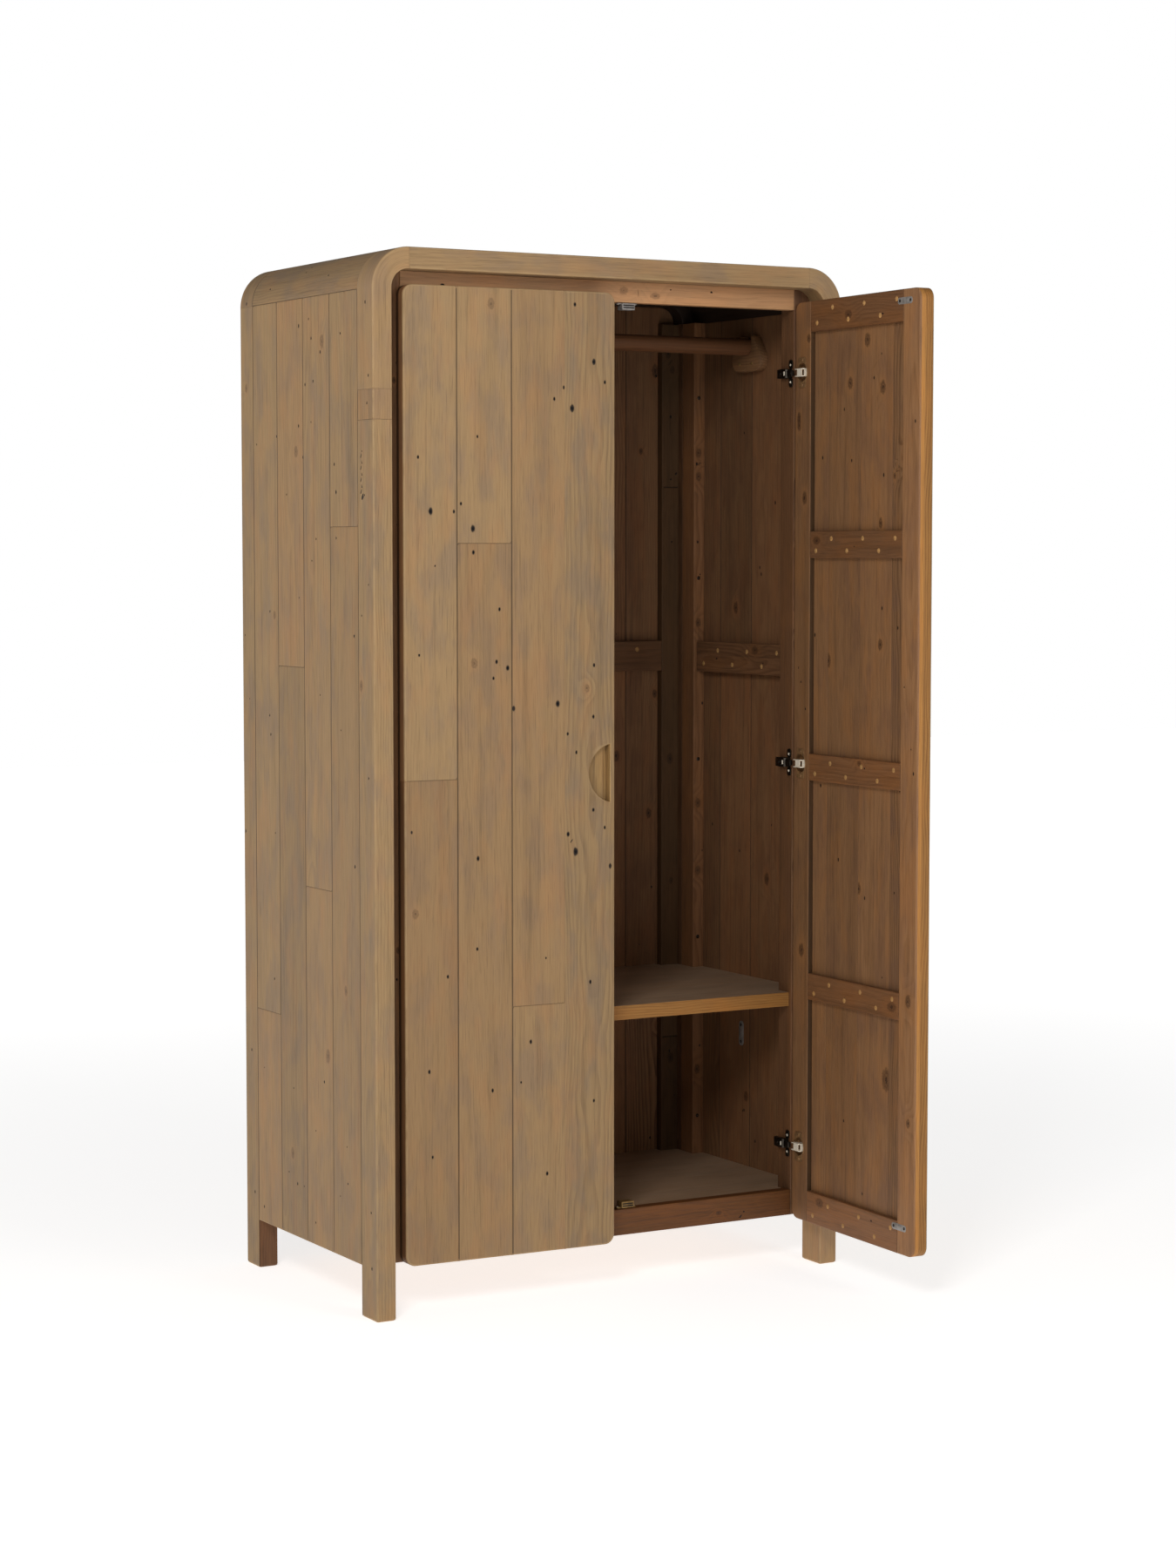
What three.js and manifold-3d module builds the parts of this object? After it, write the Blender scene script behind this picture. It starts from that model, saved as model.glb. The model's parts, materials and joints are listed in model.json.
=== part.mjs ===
// Two-door armoire of reclaimed pine boards with a rounded outer frame.
//
// The case is a front frame (legs, bent corners and a top rail), a rear frame,
// board sides that turn over into the top, and a face frame set back inside the
// front frame. Two ledged board doors lie on the face frame and swing on six
// concealed cup hinges. Inside are a floor, one shelf and a clothes rail.
//
// Units are millimetres. +X is to the right seen from the front, +Z is up, and
// the doors face -Y. While it is being built the case is centred on X, its front
// frame lies in the plane y = 0 and it stands on z = 0.
import * as THREE from 'three';
import { mergeVertices } from 'three/addons/utils/BufferGeometryUtils.js';
import Module from 'manifold-3d';

const wasm = await Module();
wasm.setup();

// ---- Driving dimensions -----------------------------------------------------

const WIDTH = 1036;
const DEPTH = 598;
const HEIGHT = 2000;
const GAP = 0.3; // clearance between neighbouring boards

// Outer frame
const POST_WIDTH = 40;
const FRONT_POST_DEPTH = 64;
const REAR_POST_DEPTH = 60;
const CORNER_RADIUS = 76;
const CORNER_FACETS = 12; // in a quarter turn of the frame
const SMALL_FACETS = 6; // in a quarter turn of a small corner
const CORNER_JOINT_Z = 1739; // where a leg meets the bent corner piece

// Boards of the sides, corners and top
const SIDE_THICKNESS = 14;
const SIDE_BOTTOM_Z = 98;
const SIDE_SEAMS_Y = [185, 304, 424];
const GROOVE_WIDTH = 2.4;
const GROOVE_DEPTH = 1.6;

// Face frame behind the doors
const FACE_Y = 48;
const OPENING_X = 438;
const STILE_DEPTH = 47;
const RAIL_DEPTH = 24;
const OPENING_TOP_Z = 1920;
const OPENING_BOTTOM_Z = 149.5;

// Back
const BACK_FRONT_Y = 572;
const BACK_THICKNESS = 18;
const BACK_STILE_WIDTH = 41;
const BATTEN_THICKNESS = 19;
const BATTEN_LOW_Z = 1187;
const BATTEN_HIGH_Z = 1251;
const REAR_CLEAT_DEPTH = 48.5;

// Floor and shelf
const FLOOR_TOP_Z = 147.5;
const FLOOR_THICKNESS = 18;
const SHELF_TOP_Z = 552;
const SHELF_THICKNESS = 28;
const SHELF_FRONT_Y = 56;

// Clothes rail
const ROD_RADIUS = 17;
const ROD_Y = 298;
const ROD_Z = 1862;
const BRACKET_WIDTH = 110;
const BRACKET_BOTTOM_Z = 1812;
const BRACKET_TOP_Z = 1884;

// Doors. u runs from a door's hinge edge towards its free edge, and v from its
// back face into the case.
const DOOR_WIDTH = 446;
const DOOR_EDGE_X = 447.5;
const DOOR_BOTTOM_Z = 95;
const DOOR_TOP_Z = 1933.5;
const DOOR_BACK_Y = 46.5;
const DOOR_THICKNESS = 31;
const DOOR_LEDGE_THICKNESS = 11;
const DOOR_CORNER_RADIUS = 20;
const DOOR_STILE_WIDTH = 58;
const DOOR_SEAMS_U = [110, 224.5, 337.5];
const DOOR_LEDGES_Z = [
  [DOOR_BOTTOM_Z, 158],
  [546, 599],
  [986, 1039],
  [1428, 1481],
  [1873, DOOR_TOP_Z],
];

// How far each door stands open
const LEFT_OPENING_DEG = 1.8;
const RIGHT_OPENING_DEG = 88;

// Hinge axis of a door, seen from the corner of its back face and hinge edge
const PIVOT_U = 3.5;
const PIVOT_V = -6.5;

// Cup hinges
const HINGES_Z = [243, 1018, 1795];
const CUP_U = 28;
const CUP_RADIUS = 19.8;
const CUP_CAVITY_RADIUS = 18.2;
const CUP_DEPTH = 13.5;
const CUP_FLOOR = 1.5;
const FLANGE_HEIGHT = 1.2;
const FLANGE_HALF_HEIGHT = 30; // half of the flange's height on the door
const FLANGE_HALF_WIDTH = 14;
const ARM_HALF_HEIGHT = 9;
const ARM_TIP_HALF_HEIGHT = 5.5;
const PLATE_THICKNESS = 2.2;
const WING_HALF_HEIGHT = 27;
const CHEEK_INNER = 7.4; // half of the space between the link's cheeks
const CHEEK_OUTER = 9;
const SHEET = 1.6; // thickness of the link's pressed steel
const ROUND_FACETS = 24; // in a full turn of a cup or its bore
const SCREW_FACETS = 8;

// Half-moon pull, cut around the meeting line of the two doors
const PULL_Z = 1015;
const PULL_RADIUS = 57;
const PULL_LIP = 10.5;
const PULL_DEPTH = 12;

// Magnetic catches
const CATCH_X = 57;
const CATCH_LENGTH = 46;
const CATCH_HEIGHT = 13.5;
const CATCH_DEPTH = 20;
const CATCH_SETBACK = 2.5;
const CATCH_EAR_LENGTH = 9;
const CATCH_EAR_HEIGHT = 3.5;
const CATCH_EAR_INSET = 4;

// ---- Derived dimensions -----------------------------------------------------

const HALF = WIDTH / 2;
const POST_INNER_X = HALF - POST_WIDTH;
const SIDE_INNER_X = HALF - SIDE_THICKNESS;
const CORNER_Z = HEIGHT - CORNER_RADIUS;
const CORNER_X = HALF - CORNER_RADIUS;
const INNER_RADIUS = CORNER_RADIUS - POST_WIDTH;
const REAR_POST_Y = DEPTH - REAR_POST_DEPTH;
const REAR_CLEAT_Y = REAR_POST_Y - REAR_CLEAT_DEPTH;
const STILE_BACK_Y = FACE_Y + STILE_DEPTH;
const BACK_STILE_Y = BACK_FRONT_Y - BATTEN_THICKNESS;
const BATTEN_X = SIDE_INNER_X - BATTEN_THICKNESS;
const PANEL_THICKNESS = DOOR_THICKNESS - DOOR_LEDGE_THICKNESS - GAP;

// ---- Materials --------------------------------------------------------------

const material = (color, roughness, metalness = 0) =>
  new THREE.MeshStandardMaterial({ color, roughness, metalness });

const MATERIALS = {
  weathered: () => material(0x9c7f5f, 0.75),
  facing: () => material(0xa8805c, 0.7),
  interior: () => material(0x7a5b41, 0.8),
  ledge: () => material(0x7d5a3c, 0.75),
  honey: () => material(0xb5834f, 0.65),
  darkSteel: () => material(0x2b2825, 0.4, 0.9),
  nickel: () => material(0xc9c6be, 0.3, 1),
};

// ---- Geometry helpers -------------------------------------------------------

function box(x0, x1, y0, y1, z0, z1) {
  const geometry = new THREE.BoxGeometry(x1 - x0, y1 - y0, z1 - z0);
  return geometry.translate((x0 + x1) / 2, (y0 + y1) / 2, (z0 + z1) / 2);
}

// Three.js divides an arc into twice the curve segments that it is given.
function extrude(shape, depth, facets) {
  const options = { depth, bevelEnabled: false, curveSegments: facets / 2 };
  return new THREE.ExtrudeGeometry(shape, options);
}

// A shape drawn in X and Z, carried from y0 to y1.
function alongY(shape, y0, y1, facets = SMALL_FACETS) {
  return extrude(shape, y1 - y0, facets).rotateX(Math.PI / 2).translate(0, y1, 0);
}

// A shape drawn in X and Y, carried from z0 to z1.
function alongZ(shape, z0, z1, facets = SMALL_FACETS) {
  return extrude(shape, z1 - z0, facets).translate(0, 0, z0);
}

// A shape drawn in Y and Z, carried from x0 to x1.
function alongX(shape, x0, x1, facets = SMALL_FACETS) {
  const turn = new THREE.Matrix4().set(0, 0, 1, 0, 1, 0, 0, 0, 0, 1, 0, 0, 0, 0, 0, 1);
  return extrude(shape, x1 - x0, facets).applyMatrix4(turn).translate(x0, 0, 0);
}

function polygon(points) {
  return new THREE.Shape(points.map(([a, b]) => new THREE.Vector2(a, b)));
}

// A rectangle whose corners have their own radii: lower left, lower right,
// upper right, upper left.
function roundedRectangle(a0, b0, a1, b1, [r0, r1, r2, r3]) {
  const quarter = Math.PI / 2;
  const shape = new THREE.Shape();
  const corner = (a, b, r, turn) => {
    if (r > 0) shape.absarc(a, b, r, turn * quarter, (turn + 1) * quarter);
    else shape.lineTo(a, b);
  };
  shape.moveTo(a0 + r0, b0);
  corner(a1 - r1, b0 + r1, r1, 3);
  corner(a1 - r2, b1 - r2, r2, 0);
  corner(a0 + r3, b1 - r3, r3, 1);
  corner(a0 + r0, b0 + r0, r0, 2);
  return shape;
}

// The same geometry on the other side of the X = 0 plane.
function mirrored(geometry) {
  const copy = geometry.index ? geometry.toNonIndexed() : geometry.clone();
  copy.scale(-1, 1, 1);
  const position = copy.attributes.position;
  for (let i = 0; i < position.count; i += 3) {
    const second = new THREE.Vector3().fromBufferAttribute(position, i + 1);
    const third = new THREE.Vector3().fromBufferAttribute(position, i + 2);
    position.setXYZ(i + 1, third.x, third.y, third.z);
    position.setXYZ(i + 2, second.x, second.y, second.z);
  }
  copy.computeVertexNormals();
  return copy;
}

function solid(geometry) {
  const bare = geometry.clone();
  bare.deleteAttribute('normal');
  bare.deleteAttribute('uv');
  const merged = mergeVertices(bare, 1e-4);
  return new wasm.Manifold(new wasm.Mesh({
    numProp: 3,
    vertProperties: new Float32Array(merged.attributes.position.array),
    triVerts: new Uint32Array(merged.index.array),
  }));
}

// One geometry from a first one, with others joined to it and cut out of it.
function combine(first, { join = [], cut = [] }) {
  let body = solid(first);
  for (const other of join) body = body.add(solid(other));
  for (const other of cut) body = body.subtract(solid(other));
  const { vertProperties, triVerts } = body.getMesh();
  const geometry = new THREE.BufferGeometry();
  geometry.setAttribute('position', new THREE.BufferAttribute(vertProperties, 3));
  geometry.setIndex(new THREE.BufferAttribute(triVerts, 1));
  const flat = geometry.toNonIndexed();
  flat.computeVertexNormals();
  return flat;
}

// ---- Scene graph helpers ----------------------------------------------------

const armoire = new THREE.Group();
const casework = new THREE.Group();
armoire.add(casework);

function add(name, geometry, look, parent = casework) {
  const mesh = new THREE.Mesh(geometry, MATERIALS[look]());
  mesh.name = name;
  parent.add(mesh);
  return mesh;
}

// A piece on the right of the case and its mirror image on the left.
function addPair(name, rightGeometry, look) {
  add(`${name}_right`, rightGeometry, look);
  add(`${name}_left`, mirrored(rightGeometry), look);
}

// ---- Outer frame ------------------------------------------------------------

// Section of a bent corner: up the side, round the corner and onto the top.
function bentCorner(thickness, lowZ) {
  const inner = CORNER_RADIUS - thickness;
  const shape = new THREE.Shape();
  shape.moveTo(HALF - thickness, lowZ);
  shape.lineTo(HALF, lowZ);
  shape.absarc(CORNER_X, CORNER_Z, CORNER_RADIUS, 0, Math.PI / 2);
  shape.absarc(CORNER_X, CORNER_Z, inner, Math.PI / 2, 0, true);
  return shape;
}

function buildOuterFrame() {
  const postTop = CORNER_JOINT_Z - GAP;
  addPair('front_post', box(POST_INNER_X, HALF, 0, FRONT_POST_DEPTH, 0, postTop), 'weathered');

  const corner = bentCorner(POST_WIDTH, CORNER_JOINT_Z);
  addPair('front_corner', alongY(corner, 0, FRONT_POST_DEPTH, CORNER_FACETS), 'weathered');

  const railEnd = CORNER_X - GAP;
  const railLow = HEIGHT - POST_WIDTH;
  add('front_top_rail', box(-railEnd, railEnd, 0, FRONT_POST_DEPTH, railLow, HEIGHT), 'weathered');

  // The rear post has a tongue inside the case that the side boards lap over.
  const rearPostTop = CORNER_Z - GAP;
  const leg = box(POST_INNER_X, HALF, REAR_POST_Y, DEPTH, 0, rearPostTop);
  const tongue = box(POST_INNER_X, SIDE_INNER_X - GAP, REAR_CLEAT_Y, REAR_POST_Y + GAP,
    SIDE_BOTTOM_Z, rearPostTop);
  addPair('rear_post', combine(leg, { join: [tongue] }), 'weathered');

  const arch = new THREE.Shape();
  arch.moveTo(POST_INNER_X, CORNER_Z);
  arch.lineTo(HALF, CORNER_Z);
  arch.absarc(CORNER_X, CORNER_Z, CORNER_RADIUS, 0, Math.PI / 2);
  arch.absarc(-CORNER_X, CORNER_Z, CORNER_RADIUS, Math.PI / 2, Math.PI);
  arch.lineTo(-POST_INNER_X, CORNER_Z);
  arch.absarc(-CORNER_X, CORNER_Z, INNER_RADIUS, Math.PI, Math.PI / 2, true);
  arch.absarc(CORNER_X, CORNER_Z, INNER_RADIUS, Math.PI / 2, 0, true);
  add('rear_arch', alongY(arch, REAR_POST_Y, DEPTH, CORNER_FACETS), 'weathered');
}

// ---- Sides and top ----------------------------------------------------------

function buildShell() {
  const front = FRONT_POST_DEPTH + GAP;
  const back = REAR_POST_Y - GAP;

  const sideGrooves = SIDE_SEAMS_Y.map((y) => {
    const section = polygon([
      [HALF - GROOVE_DEPTH, y],
      [HALF + 1, y - GROOVE_WIDTH],
      [HALF + 1, y + GROOVE_WIDTH],
    ]);
    return alongZ(section, 0, HEIGHT);
  });
  const side = box(SIDE_INNER_X, HALF, front, back, SIDE_BOTTOM_Z, CORNER_Z - GAP);
  addPair('side_panel', combine(side, { cut: sideGrooves }), 'weathered');

  const cornerBoard = bentCorner(SIDE_THICKNESS, CORNER_Z);
  addPair('corner_panel', alongY(cornerBoard, front, back, CORNER_FACETS), 'weathered');

  const topEnd = CORNER_X - GAP;
  const topGrooves = SIDE_SEAMS_Y.map((y) => {
    const section = polygon([
      [y, HEIGHT - GROOVE_DEPTH],
      [y + GROOVE_WIDTH, HEIGHT + 1],
      [y - GROOVE_WIDTH, HEIGHT + 1],
    ]);
    return alongX(section, -HALF, HALF);
  });
  const top = box(-topEnd, topEnd, front, back, HEIGHT - SIDE_THICKNESS, HEIGHT);
  add('top_panel', combine(top, { cut: topGrooves }), 'weathered');
}

// ---- Face frame -------------------------------------------------------------

function buildFaceFrame() {
  const outer = POST_INNER_X - GAP;
  const top = HEIGHT - POST_WIDTH - GAP;
  const stile = roundedRectangle(
    OPENING_X, SIDE_BOTTOM_Z, outer, top, [0, 0, INNER_RADIUS, 0]);
  addPair('face_stile', alongY(stile, FACE_Y, STILE_BACK_Y, CORNER_FACETS), 'facing');

  const end = OPENING_X - GAP;
  const railBack = FACE_Y + RAIL_DEPTH;
  add('face_rail_top', box(-end, end, FACE_Y, railBack, OPENING_TOP_Z, top), 'facing');
  add('face_rail_bottom',
    box(-end, end, FACE_Y, railBack, SIDE_BOTTOM_Z, OPENING_BOTTOM_Z), 'facing');
}

// ---- Back -------------------------------------------------------------------

function buildBack() {
  const outer = POST_INNER_X - GAP;
  const top = HEIGHT - POST_WIDTH - GAP;
  const backBack = BACK_FRONT_Y + BACK_THICKNESS;
  const boards = 8;
  const boardWidth = (2 * outer) / boards;
  const outline = roundedRectangle(
    -outer, SIDE_BOTTOM_Z, outer, top, [0, 0, INNER_RADIUS, INNER_RADIUS]);
  const grooves = [];
  for (let i = 1; i < boards; i += 1) {
    const x = -outer + i * boardWidth;
    const behind = polygon([
      [x, backBack - GROOVE_DEPTH],
      [x + GROOVE_WIDTH, backBack + 1],
      [x - GROOVE_WIDTH, backBack + 1],
    ]);
    const inside = polygon([
      [x, BACK_FRONT_Y + GROOVE_DEPTH],
      [x - GROOVE_WIDTH, BACK_FRONT_Y - 1],
      [x + GROOVE_WIDTH, BACK_FRONT_Y - 1],
    ]);
    grooves.push(alongZ(behind, 0, HEIGHT), alongZ(inside, 0, HEIGHT));
  }
  const board = alongY(outline, BACK_FRONT_Y, backBack, CORNER_FACETS);
  const panel = combine(board, { cut: grooves });
  add('back_panel', panel, 'interior');

  const stileInner = outer - BACK_STILE_WIDTH;
  const stileBack = BACK_FRONT_Y - GAP;
  const stileLow = SIDE_BOTTOM_Z;
  const stileHigh = CORNER_Z - GAP;
  addPair('back_stile',
    box(stileInner, outer, BACK_STILE_Y, stileBack, stileLow, stileHigh), 'interior');

  const battenEnd = stileInner - GAP;
  add('back_batten',
    box(-battenEnd, battenEnd, BACK_STILE_Y, stileBack, BATTEN_LOW_Z, BATTEN_HIGH_Z), 'ledge');

  addPair('side_batten',
    box(BATTEN_X, SIDE_INNER_X - GAP, STILE_BACK_Y + GAP, REAR_CLEAT_Y - GAP,
      BATTEN_LOW_Z, BATTEN_HIGH_Z), 'ledge');
}

// ---- Floor and shelf --------------------------------------------------------

// Plan of a board that fills the case, notched round the face stiles, the rear
// posts and the back stiles.
function fittedPlan(frontY) {
  const notchX = OPENING_X - 2 * GAP;
  const sideX = SIDE_INNER_X - 2 * GAP;
  const postX = POST_INNER_X - 2 * GAP;
  const stileX = POST_INNER_X - BACK_STILE_WIDTH - 3 * GAP;
  const right = [
    [notchX, frontY],
    [notchX, STILE_BACK_Y + GAP],
    [sideX, STILE_BACK_Y + GAP],
    [sideX, REAR_CLEAT_Y - GAP],
    [postX, REAR_CLEAT_Y - GAP],
    [postX, BACK_STILE_Y - GAP],
    [stileX, BACK_STILE_Y - GAP],
    [stileX, BACK_FRONT_Y - GAP],
  ];
  const left = right.map(([x, y]) => [-x, y]).reverse();
  return polygon([...right, ...left]);
}

function buildFloorAndShelf() {
  const floor = fittedPlan(FACE_Y + RAIL_DEPTH + GAP);
  add('floor_panel', alongZ(floor, FLOOR_TOP_Z - FLOOR_THICKNESS, FLOOR_TOP_Z), 'interior');
  const shelf = fittedPlan(SHELF_FRONT_Y);
  add('shelf', alongZ(shelf, SHELF_TOP_Z - SHELF_THICKNESS, SHELF_TOP_Z), 'honey');
}

// ---- Clothes rail -----------------------------------------------------------

function buildClothesRail() {
  const rodEnd = SIDE_INNER_X - 2;
  const rod = new THREE.CylinderGeometry(ROD_RADIUS, ROD_RADIUS, 2 * rodEnd, ROUND_FACETS);
  rod.rotateZ(Math.PI / 2).translate(0, ROD_Y, ROD_Z);
  add('clothes_rod', rod, 'ledge');

  // A bracket is a plate with a U-shaped seat, open at the top.
  const half = BRACKET_WIDTH / 2;
  const seat = ROD_RADIUS + GAP;
  const cornerRadius = 24;
  const horn = 8;
  const plate = new THREE.Shape();
  plate.moveTo(ROD_Y - half + cornerRadius, BRACKET_BOTTOM_Z);
  plate.absarc(ROD_Y + half - cornerRadius, BRACKET_BOTTOM_Z + cornerRadius, cornerRadius,
    -Math.PI / 2, Math.PI / 4);
  plate.lineTo(ROD_Y + seat + horn, BRACKET_TOP_Z);
  plate.lineTo(ROD_Y + seat, BRACKET_TOP_Z);
  plate.absarc(ROD_Y, ROD_Z, seat, 0, Math.PI, true);
  plate.lineTo(ROD_Y - seat, BRACKET_TOP_Z);
  plate.lineTo(ROD_Y - seat - horn, BRACKET_TOP_Z);
  plate.absarc(ROD_Y - half + cornerRadius, BRACKET_BOTTOM_Z + cornerRadius, cornerRadius,
    (3 * Math.PI) / 4, (3 * Math.PI) / 2);
  const inner = BATTEN_X;
  const outer = SIDE_INNER_X - GAP;
  addPair('rail_bracket', alongX(plate, inner, outer, CORNER_FACETS), 'ledge');
}

// ---- Magnetic catches -------------------------------------------------------

// A block with a screw ear at each end, lying against a rail's edge at z = 0.
function catchGeometry() {
  const half = CATCH_LENGTH / 2;
  const bodyHalf = half - CATCH_EAR_LENGTH;
  const front = FACE_Y + CATCH_SETBACK;
  const back = front + CATCH_DEPTH;
  const body = box(-bodyHalf, bodyHalf, front, back, 0, CATCH_HEIGHT);
  const ears = box(
    -half, half, front + CATCH_EAR_INSET, back - CATCH_EAR_INSET, 0, CATCH_EAR_HEIGHT);
  return combine(body, { join: [ears] });
}

function buildCatches() {
  const bottom = catchGeometry().translate(CATCH_X, 0, OPENING_BOTTOM_Z + GAP);
  addPair('bottom_catch', bottom, 'nickel');
  const hanging = catchGeometry().rotateX(Math.PI);
  const turnedBack = 2 * (FACE_Y + CATCH_SETBACK) + CATCH_DEPTH;
  addPair('top_catch', hanging.translate(CATCH_X, turnedBack, OPENING_TOP_Z - GAP), 'nickel');
}

// ---- Hinges -----------------------------------------------------------------

// Hinge pieces are drawn for the right door in the door's own plane: x = -u from
// the door's closed hinge edge, y = v from its closed back face, z from the
// hinge's middle.
const hingePlan = (points) => polygon(points.map(([u, v]) => [-u, v]).reverse());

// The arm and its winged mounting plate, screwed to the edge of a face stile.
// The narrow tip reaches into the cup when the door is closed.
function hingeArm() {
  const plateLow = DOOR_EDGE_X - OPENING_X + GAP;
  const plateHigh = plateLow + PLATE_THICKNESS;
  const body = alongZ(hingePlan([
    [plateLow, 12], [18, 12], [21.5, 16], [21.5, 40], [18, 50], [plateLow, 52],
  ]), -ARM_HALF_HEIGHT, ARM_HALF_HEIGHT);
  const tip = alongZ(hingePlan([
    [12.8, 13], [12.8, 0], [14.7, -3], [14.7, -8], [16, -10.5], [20, -10.5], [21.5, -6],
    [18.5, 4], [18.5, 13],
  ]), -ARM_TIP_HALF_HEIGHT, ARM_TIP_HALF_HEIGHT);

  // The wings pass beside the swinging link, so they are cut away in its path.
  const wing = roundedRectangle(4.5, -WING_HALF_HEIGHT, 17.5, WING_HALF_HEIGHT, [6, 6, 6, 6]);
  const pathHalf = CHEEK_OUTER + 0.8;
  const linkPath = box(-plateHigh - 1, -plateLow + 1, 0, 12, -pathHalf, pathHalf);
  const wings = combine(alongX(wing, -plateHigh, -plateLow), { cut: [linkPath] });

  const screwZ = 20;
  const screws = [-screwZ, screwZ].map((z) => {
    const head = new THREE.CylinderGeometry(3.6, 4.2, 1.8, SCREW_FACETS);
    return head.rotateZ(Math.PI / 2).translate(-plateHigh - 0.8, 11, z);
  });
  const adjuster = new THREE.CylinderGeometry(3.4, 3.4, 1.6, SCREW_FACETS);
  adjuster.rotateZ(Math.PI / 2).translate(-22, 24, 0);
  return combine(body, { join: [tip, wings, ...screws, adjuster] });
}

// The cup, its flange and the forked link that stands out of it.
function hingeCup() {
  const inside = CUP_DEPTH - CUP_FLOOR;
  const turned = (points) => new THREE.LatheGeometry(
    points.map(([r, h]) => new THREE.Vector2(r, h)), ROUND_FACETS).translate(-CUP_U, 0, 0);
  const cup = turned([
    [0, -CUP_DEPTH],
    [CUP_RADIUS, -CUP_DEPTH],
    [CUP_RADIUS, 0],
    [CUP_CAVITY_RADIUS, 0],
    [CUP_CAVITY_RADIUS, -inside],
    [0, -inside],
  ]);
  const flangeTop = GAP + FLANGE_HEIGHT;
  const collar = turned([
    [CUP_CAVITY_RADIUS, -1],
    [CUP_RADIUS - GAP, -1],
    [CUP_RADIUS - GAP, flangeTop],
    [CUP_CAVITY_RADIUS, flangeTop],
    [CUP_CAVITY_RADIUS, -1],
  ]);
  const outline = roundedRectangle(
    -CUP_U - FLANGE_HALF_WIDTH, -FLANGE_HALF_HEIGHT,
    -CUP_U + FLANGE_HALF_WIDTH, FLANGE_HALF_HEIGHT, [9, 9, 9, 9]);
  const mouth = new THREE.CylinderGeometry(
    CUP_CAVITY_RADIUS, CUP_CAVITY_RADIUS, CUP_DEPTH, ROUND_FACETS).translate(-CUP_U, 0, 0);
  const flange = combine(alongY(outline, GAP, flangeTop), { cut: [mouth] });

  const cheek = hingePlan([
    [24, -12.6], [43, -12.6], [43, 5], [39, 9], [14, 9], [10.6, 6], [10.6, 2.2], [24, -2],
  ]);
  const web = hingePlan([[25, 9 - SHEET], [38.4, 9 - SHEET], [38.4, 9], [25, 9]]);
  const backWeb = hingePlan([
    [43 - SHEET, -12.6], [43, -12.6], [43, 5], [43 - SHEET, 5],
  ]);
  const link = [
    alongZ(cheek, CHEEK_INNER, CHEEK_OUTER),
    alongZ(cheek, -CHEEK_OUTER, -CHEEK_INNER),
    alongZ(web, -CHEEK_INNER - GAP, CHEEK_INNER + GAP),
    alongZ(backWeb, -CHEEK_INNER - GAP, CHEEK_INNER + GAP),
  ];
  return combine(cup, { join: [collar, flange, ...link] });
}

function buildHingeArms() {
  HINGES_Z.forEach((z, i) => {
    const arm = hingeArm().translate(DOOR_EDGE_X, DOOR_BACK_Y, z);
    addPair(`hinge_arm_${i + 1}`, arm, 'darkSteel');
  });
}

// ---- Doors ------------------------------------------------------------------

// The pocket of the pull: the part of a disc about the meeting line that lies
// behind the lip at the door's free edge.
function pullPocket() {
  const centre = -DOOR_EDGE_X;
  const lip = -(DOOR_WIDTH - PULL_LIP);
  const reach = Math.acos((lip - centre) / PULL_RADIUS);
  const disc = new THREE.Shape();
  disc.absarc(centre, PULL_Z, PULL_RADIUS, -reach, reach, false);
  const frontV = -DOOR_THICKNESS;
  const pocket = extrude(disc, PULL_DEPTH + 1, 16);
  return pocket.rotateX(Math.PI / 2).translate(0, frontV + PULL_DEPTH, 0);
}

// The pieces of the right door, in the hinge pieces' coordinates.
function doorPieces() {
  const pieces = [];
  const r = DOOR_CORNER_RADIUS;
  const frontV = -DOOR_THICKNESS;
  const panelBackV = frontV + PANEL_THICKNESS;
  const outline = roundedRectangle(-DOOR_WIDTH, DOOR_BOTTOM_Z, 0, DOOR_TOP_Z, [r, r, r, r]);
  const cuts = [pullPocket()];
  for (const u of DOOR_SEAMS_U) {
    const front = polygon([
      [-u, frontV + GROOVE_DEPTH],
      [-u - GROOVE_WIDTH, frontV - 1],
      [-u + GROOVE_WIDTH, frontV - 1],
    ]);
    const rear = polygon([
      [-u, panelBackV - GROOVE_DEPTH],
      [-u + GROOVE_WIDTH, panelBackV + 1],
      [-u - GROOVE_WIDTH, panelBackV + 1],
    ]);
    cuts.push(alongZ(front, 0, HEIGHT), alongZ(rear, 0, HEIGHT));
  }
  const boreRadius = CUP_RADIUS + GAP;
  const boreLength = 2 * (CUP_DEPTH + GAP);
  const bores = HINGES_Z.map((z) =>
    new THREE.CylinderGeometry(boreRadius, boreRadius, boreLength, ROUND_FACETS)
      .translate(-CUP_U, 0, z));
  const panel = combine(alongY(outline, frontV, panelBackV), { cut: [...cuts, ...bores] });
  pieces.push(['boards', panel, 'weathered']);

  const ledgeFront = -DOOR_LEDGE_THICKNESS;
  const w = DOOR_STILE_WIDTH;
  const hingeStile = roundedRectangle(-w, DOOR_BOTTOM_Z, 0, DOOR_TOP_Z, [0, r, r, 0]);
  const bored = combine(alongY(hingeStile, ledgeFront, 0), { cut: bores });
  pieces.push(['hinge_stile', bored, 'ledge']);
  const freeStile = roundedRectangle(
    -DOOR_WIDTH, DOOR_BOTTOM_Z, -DOOR_WIDTH + w, DOOR_TOP_Z, [r, 0, 0, r]);
  pieces.push(['free_stile', alongY(freeStile, ledgeFront, 0), 'ledge']);

  DOOR_LEDGES_Z.forEach(([low, high], i) => {
    const ledge = box(-DOOR_WIDTH + w + GAP, -w - GAP, ledgeFront, 0, low, high);
    pieces.push([`ledge_${i + 1}`, ledge, 'ledge']);
  });
  HINGES_Z.forEach((z, i) => {
    pieces.push([`hinge_cup_${i + 1}`, hingeCup().translate(0, 0, z), 'nickel']);
  });
  return pieces;
}

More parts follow.
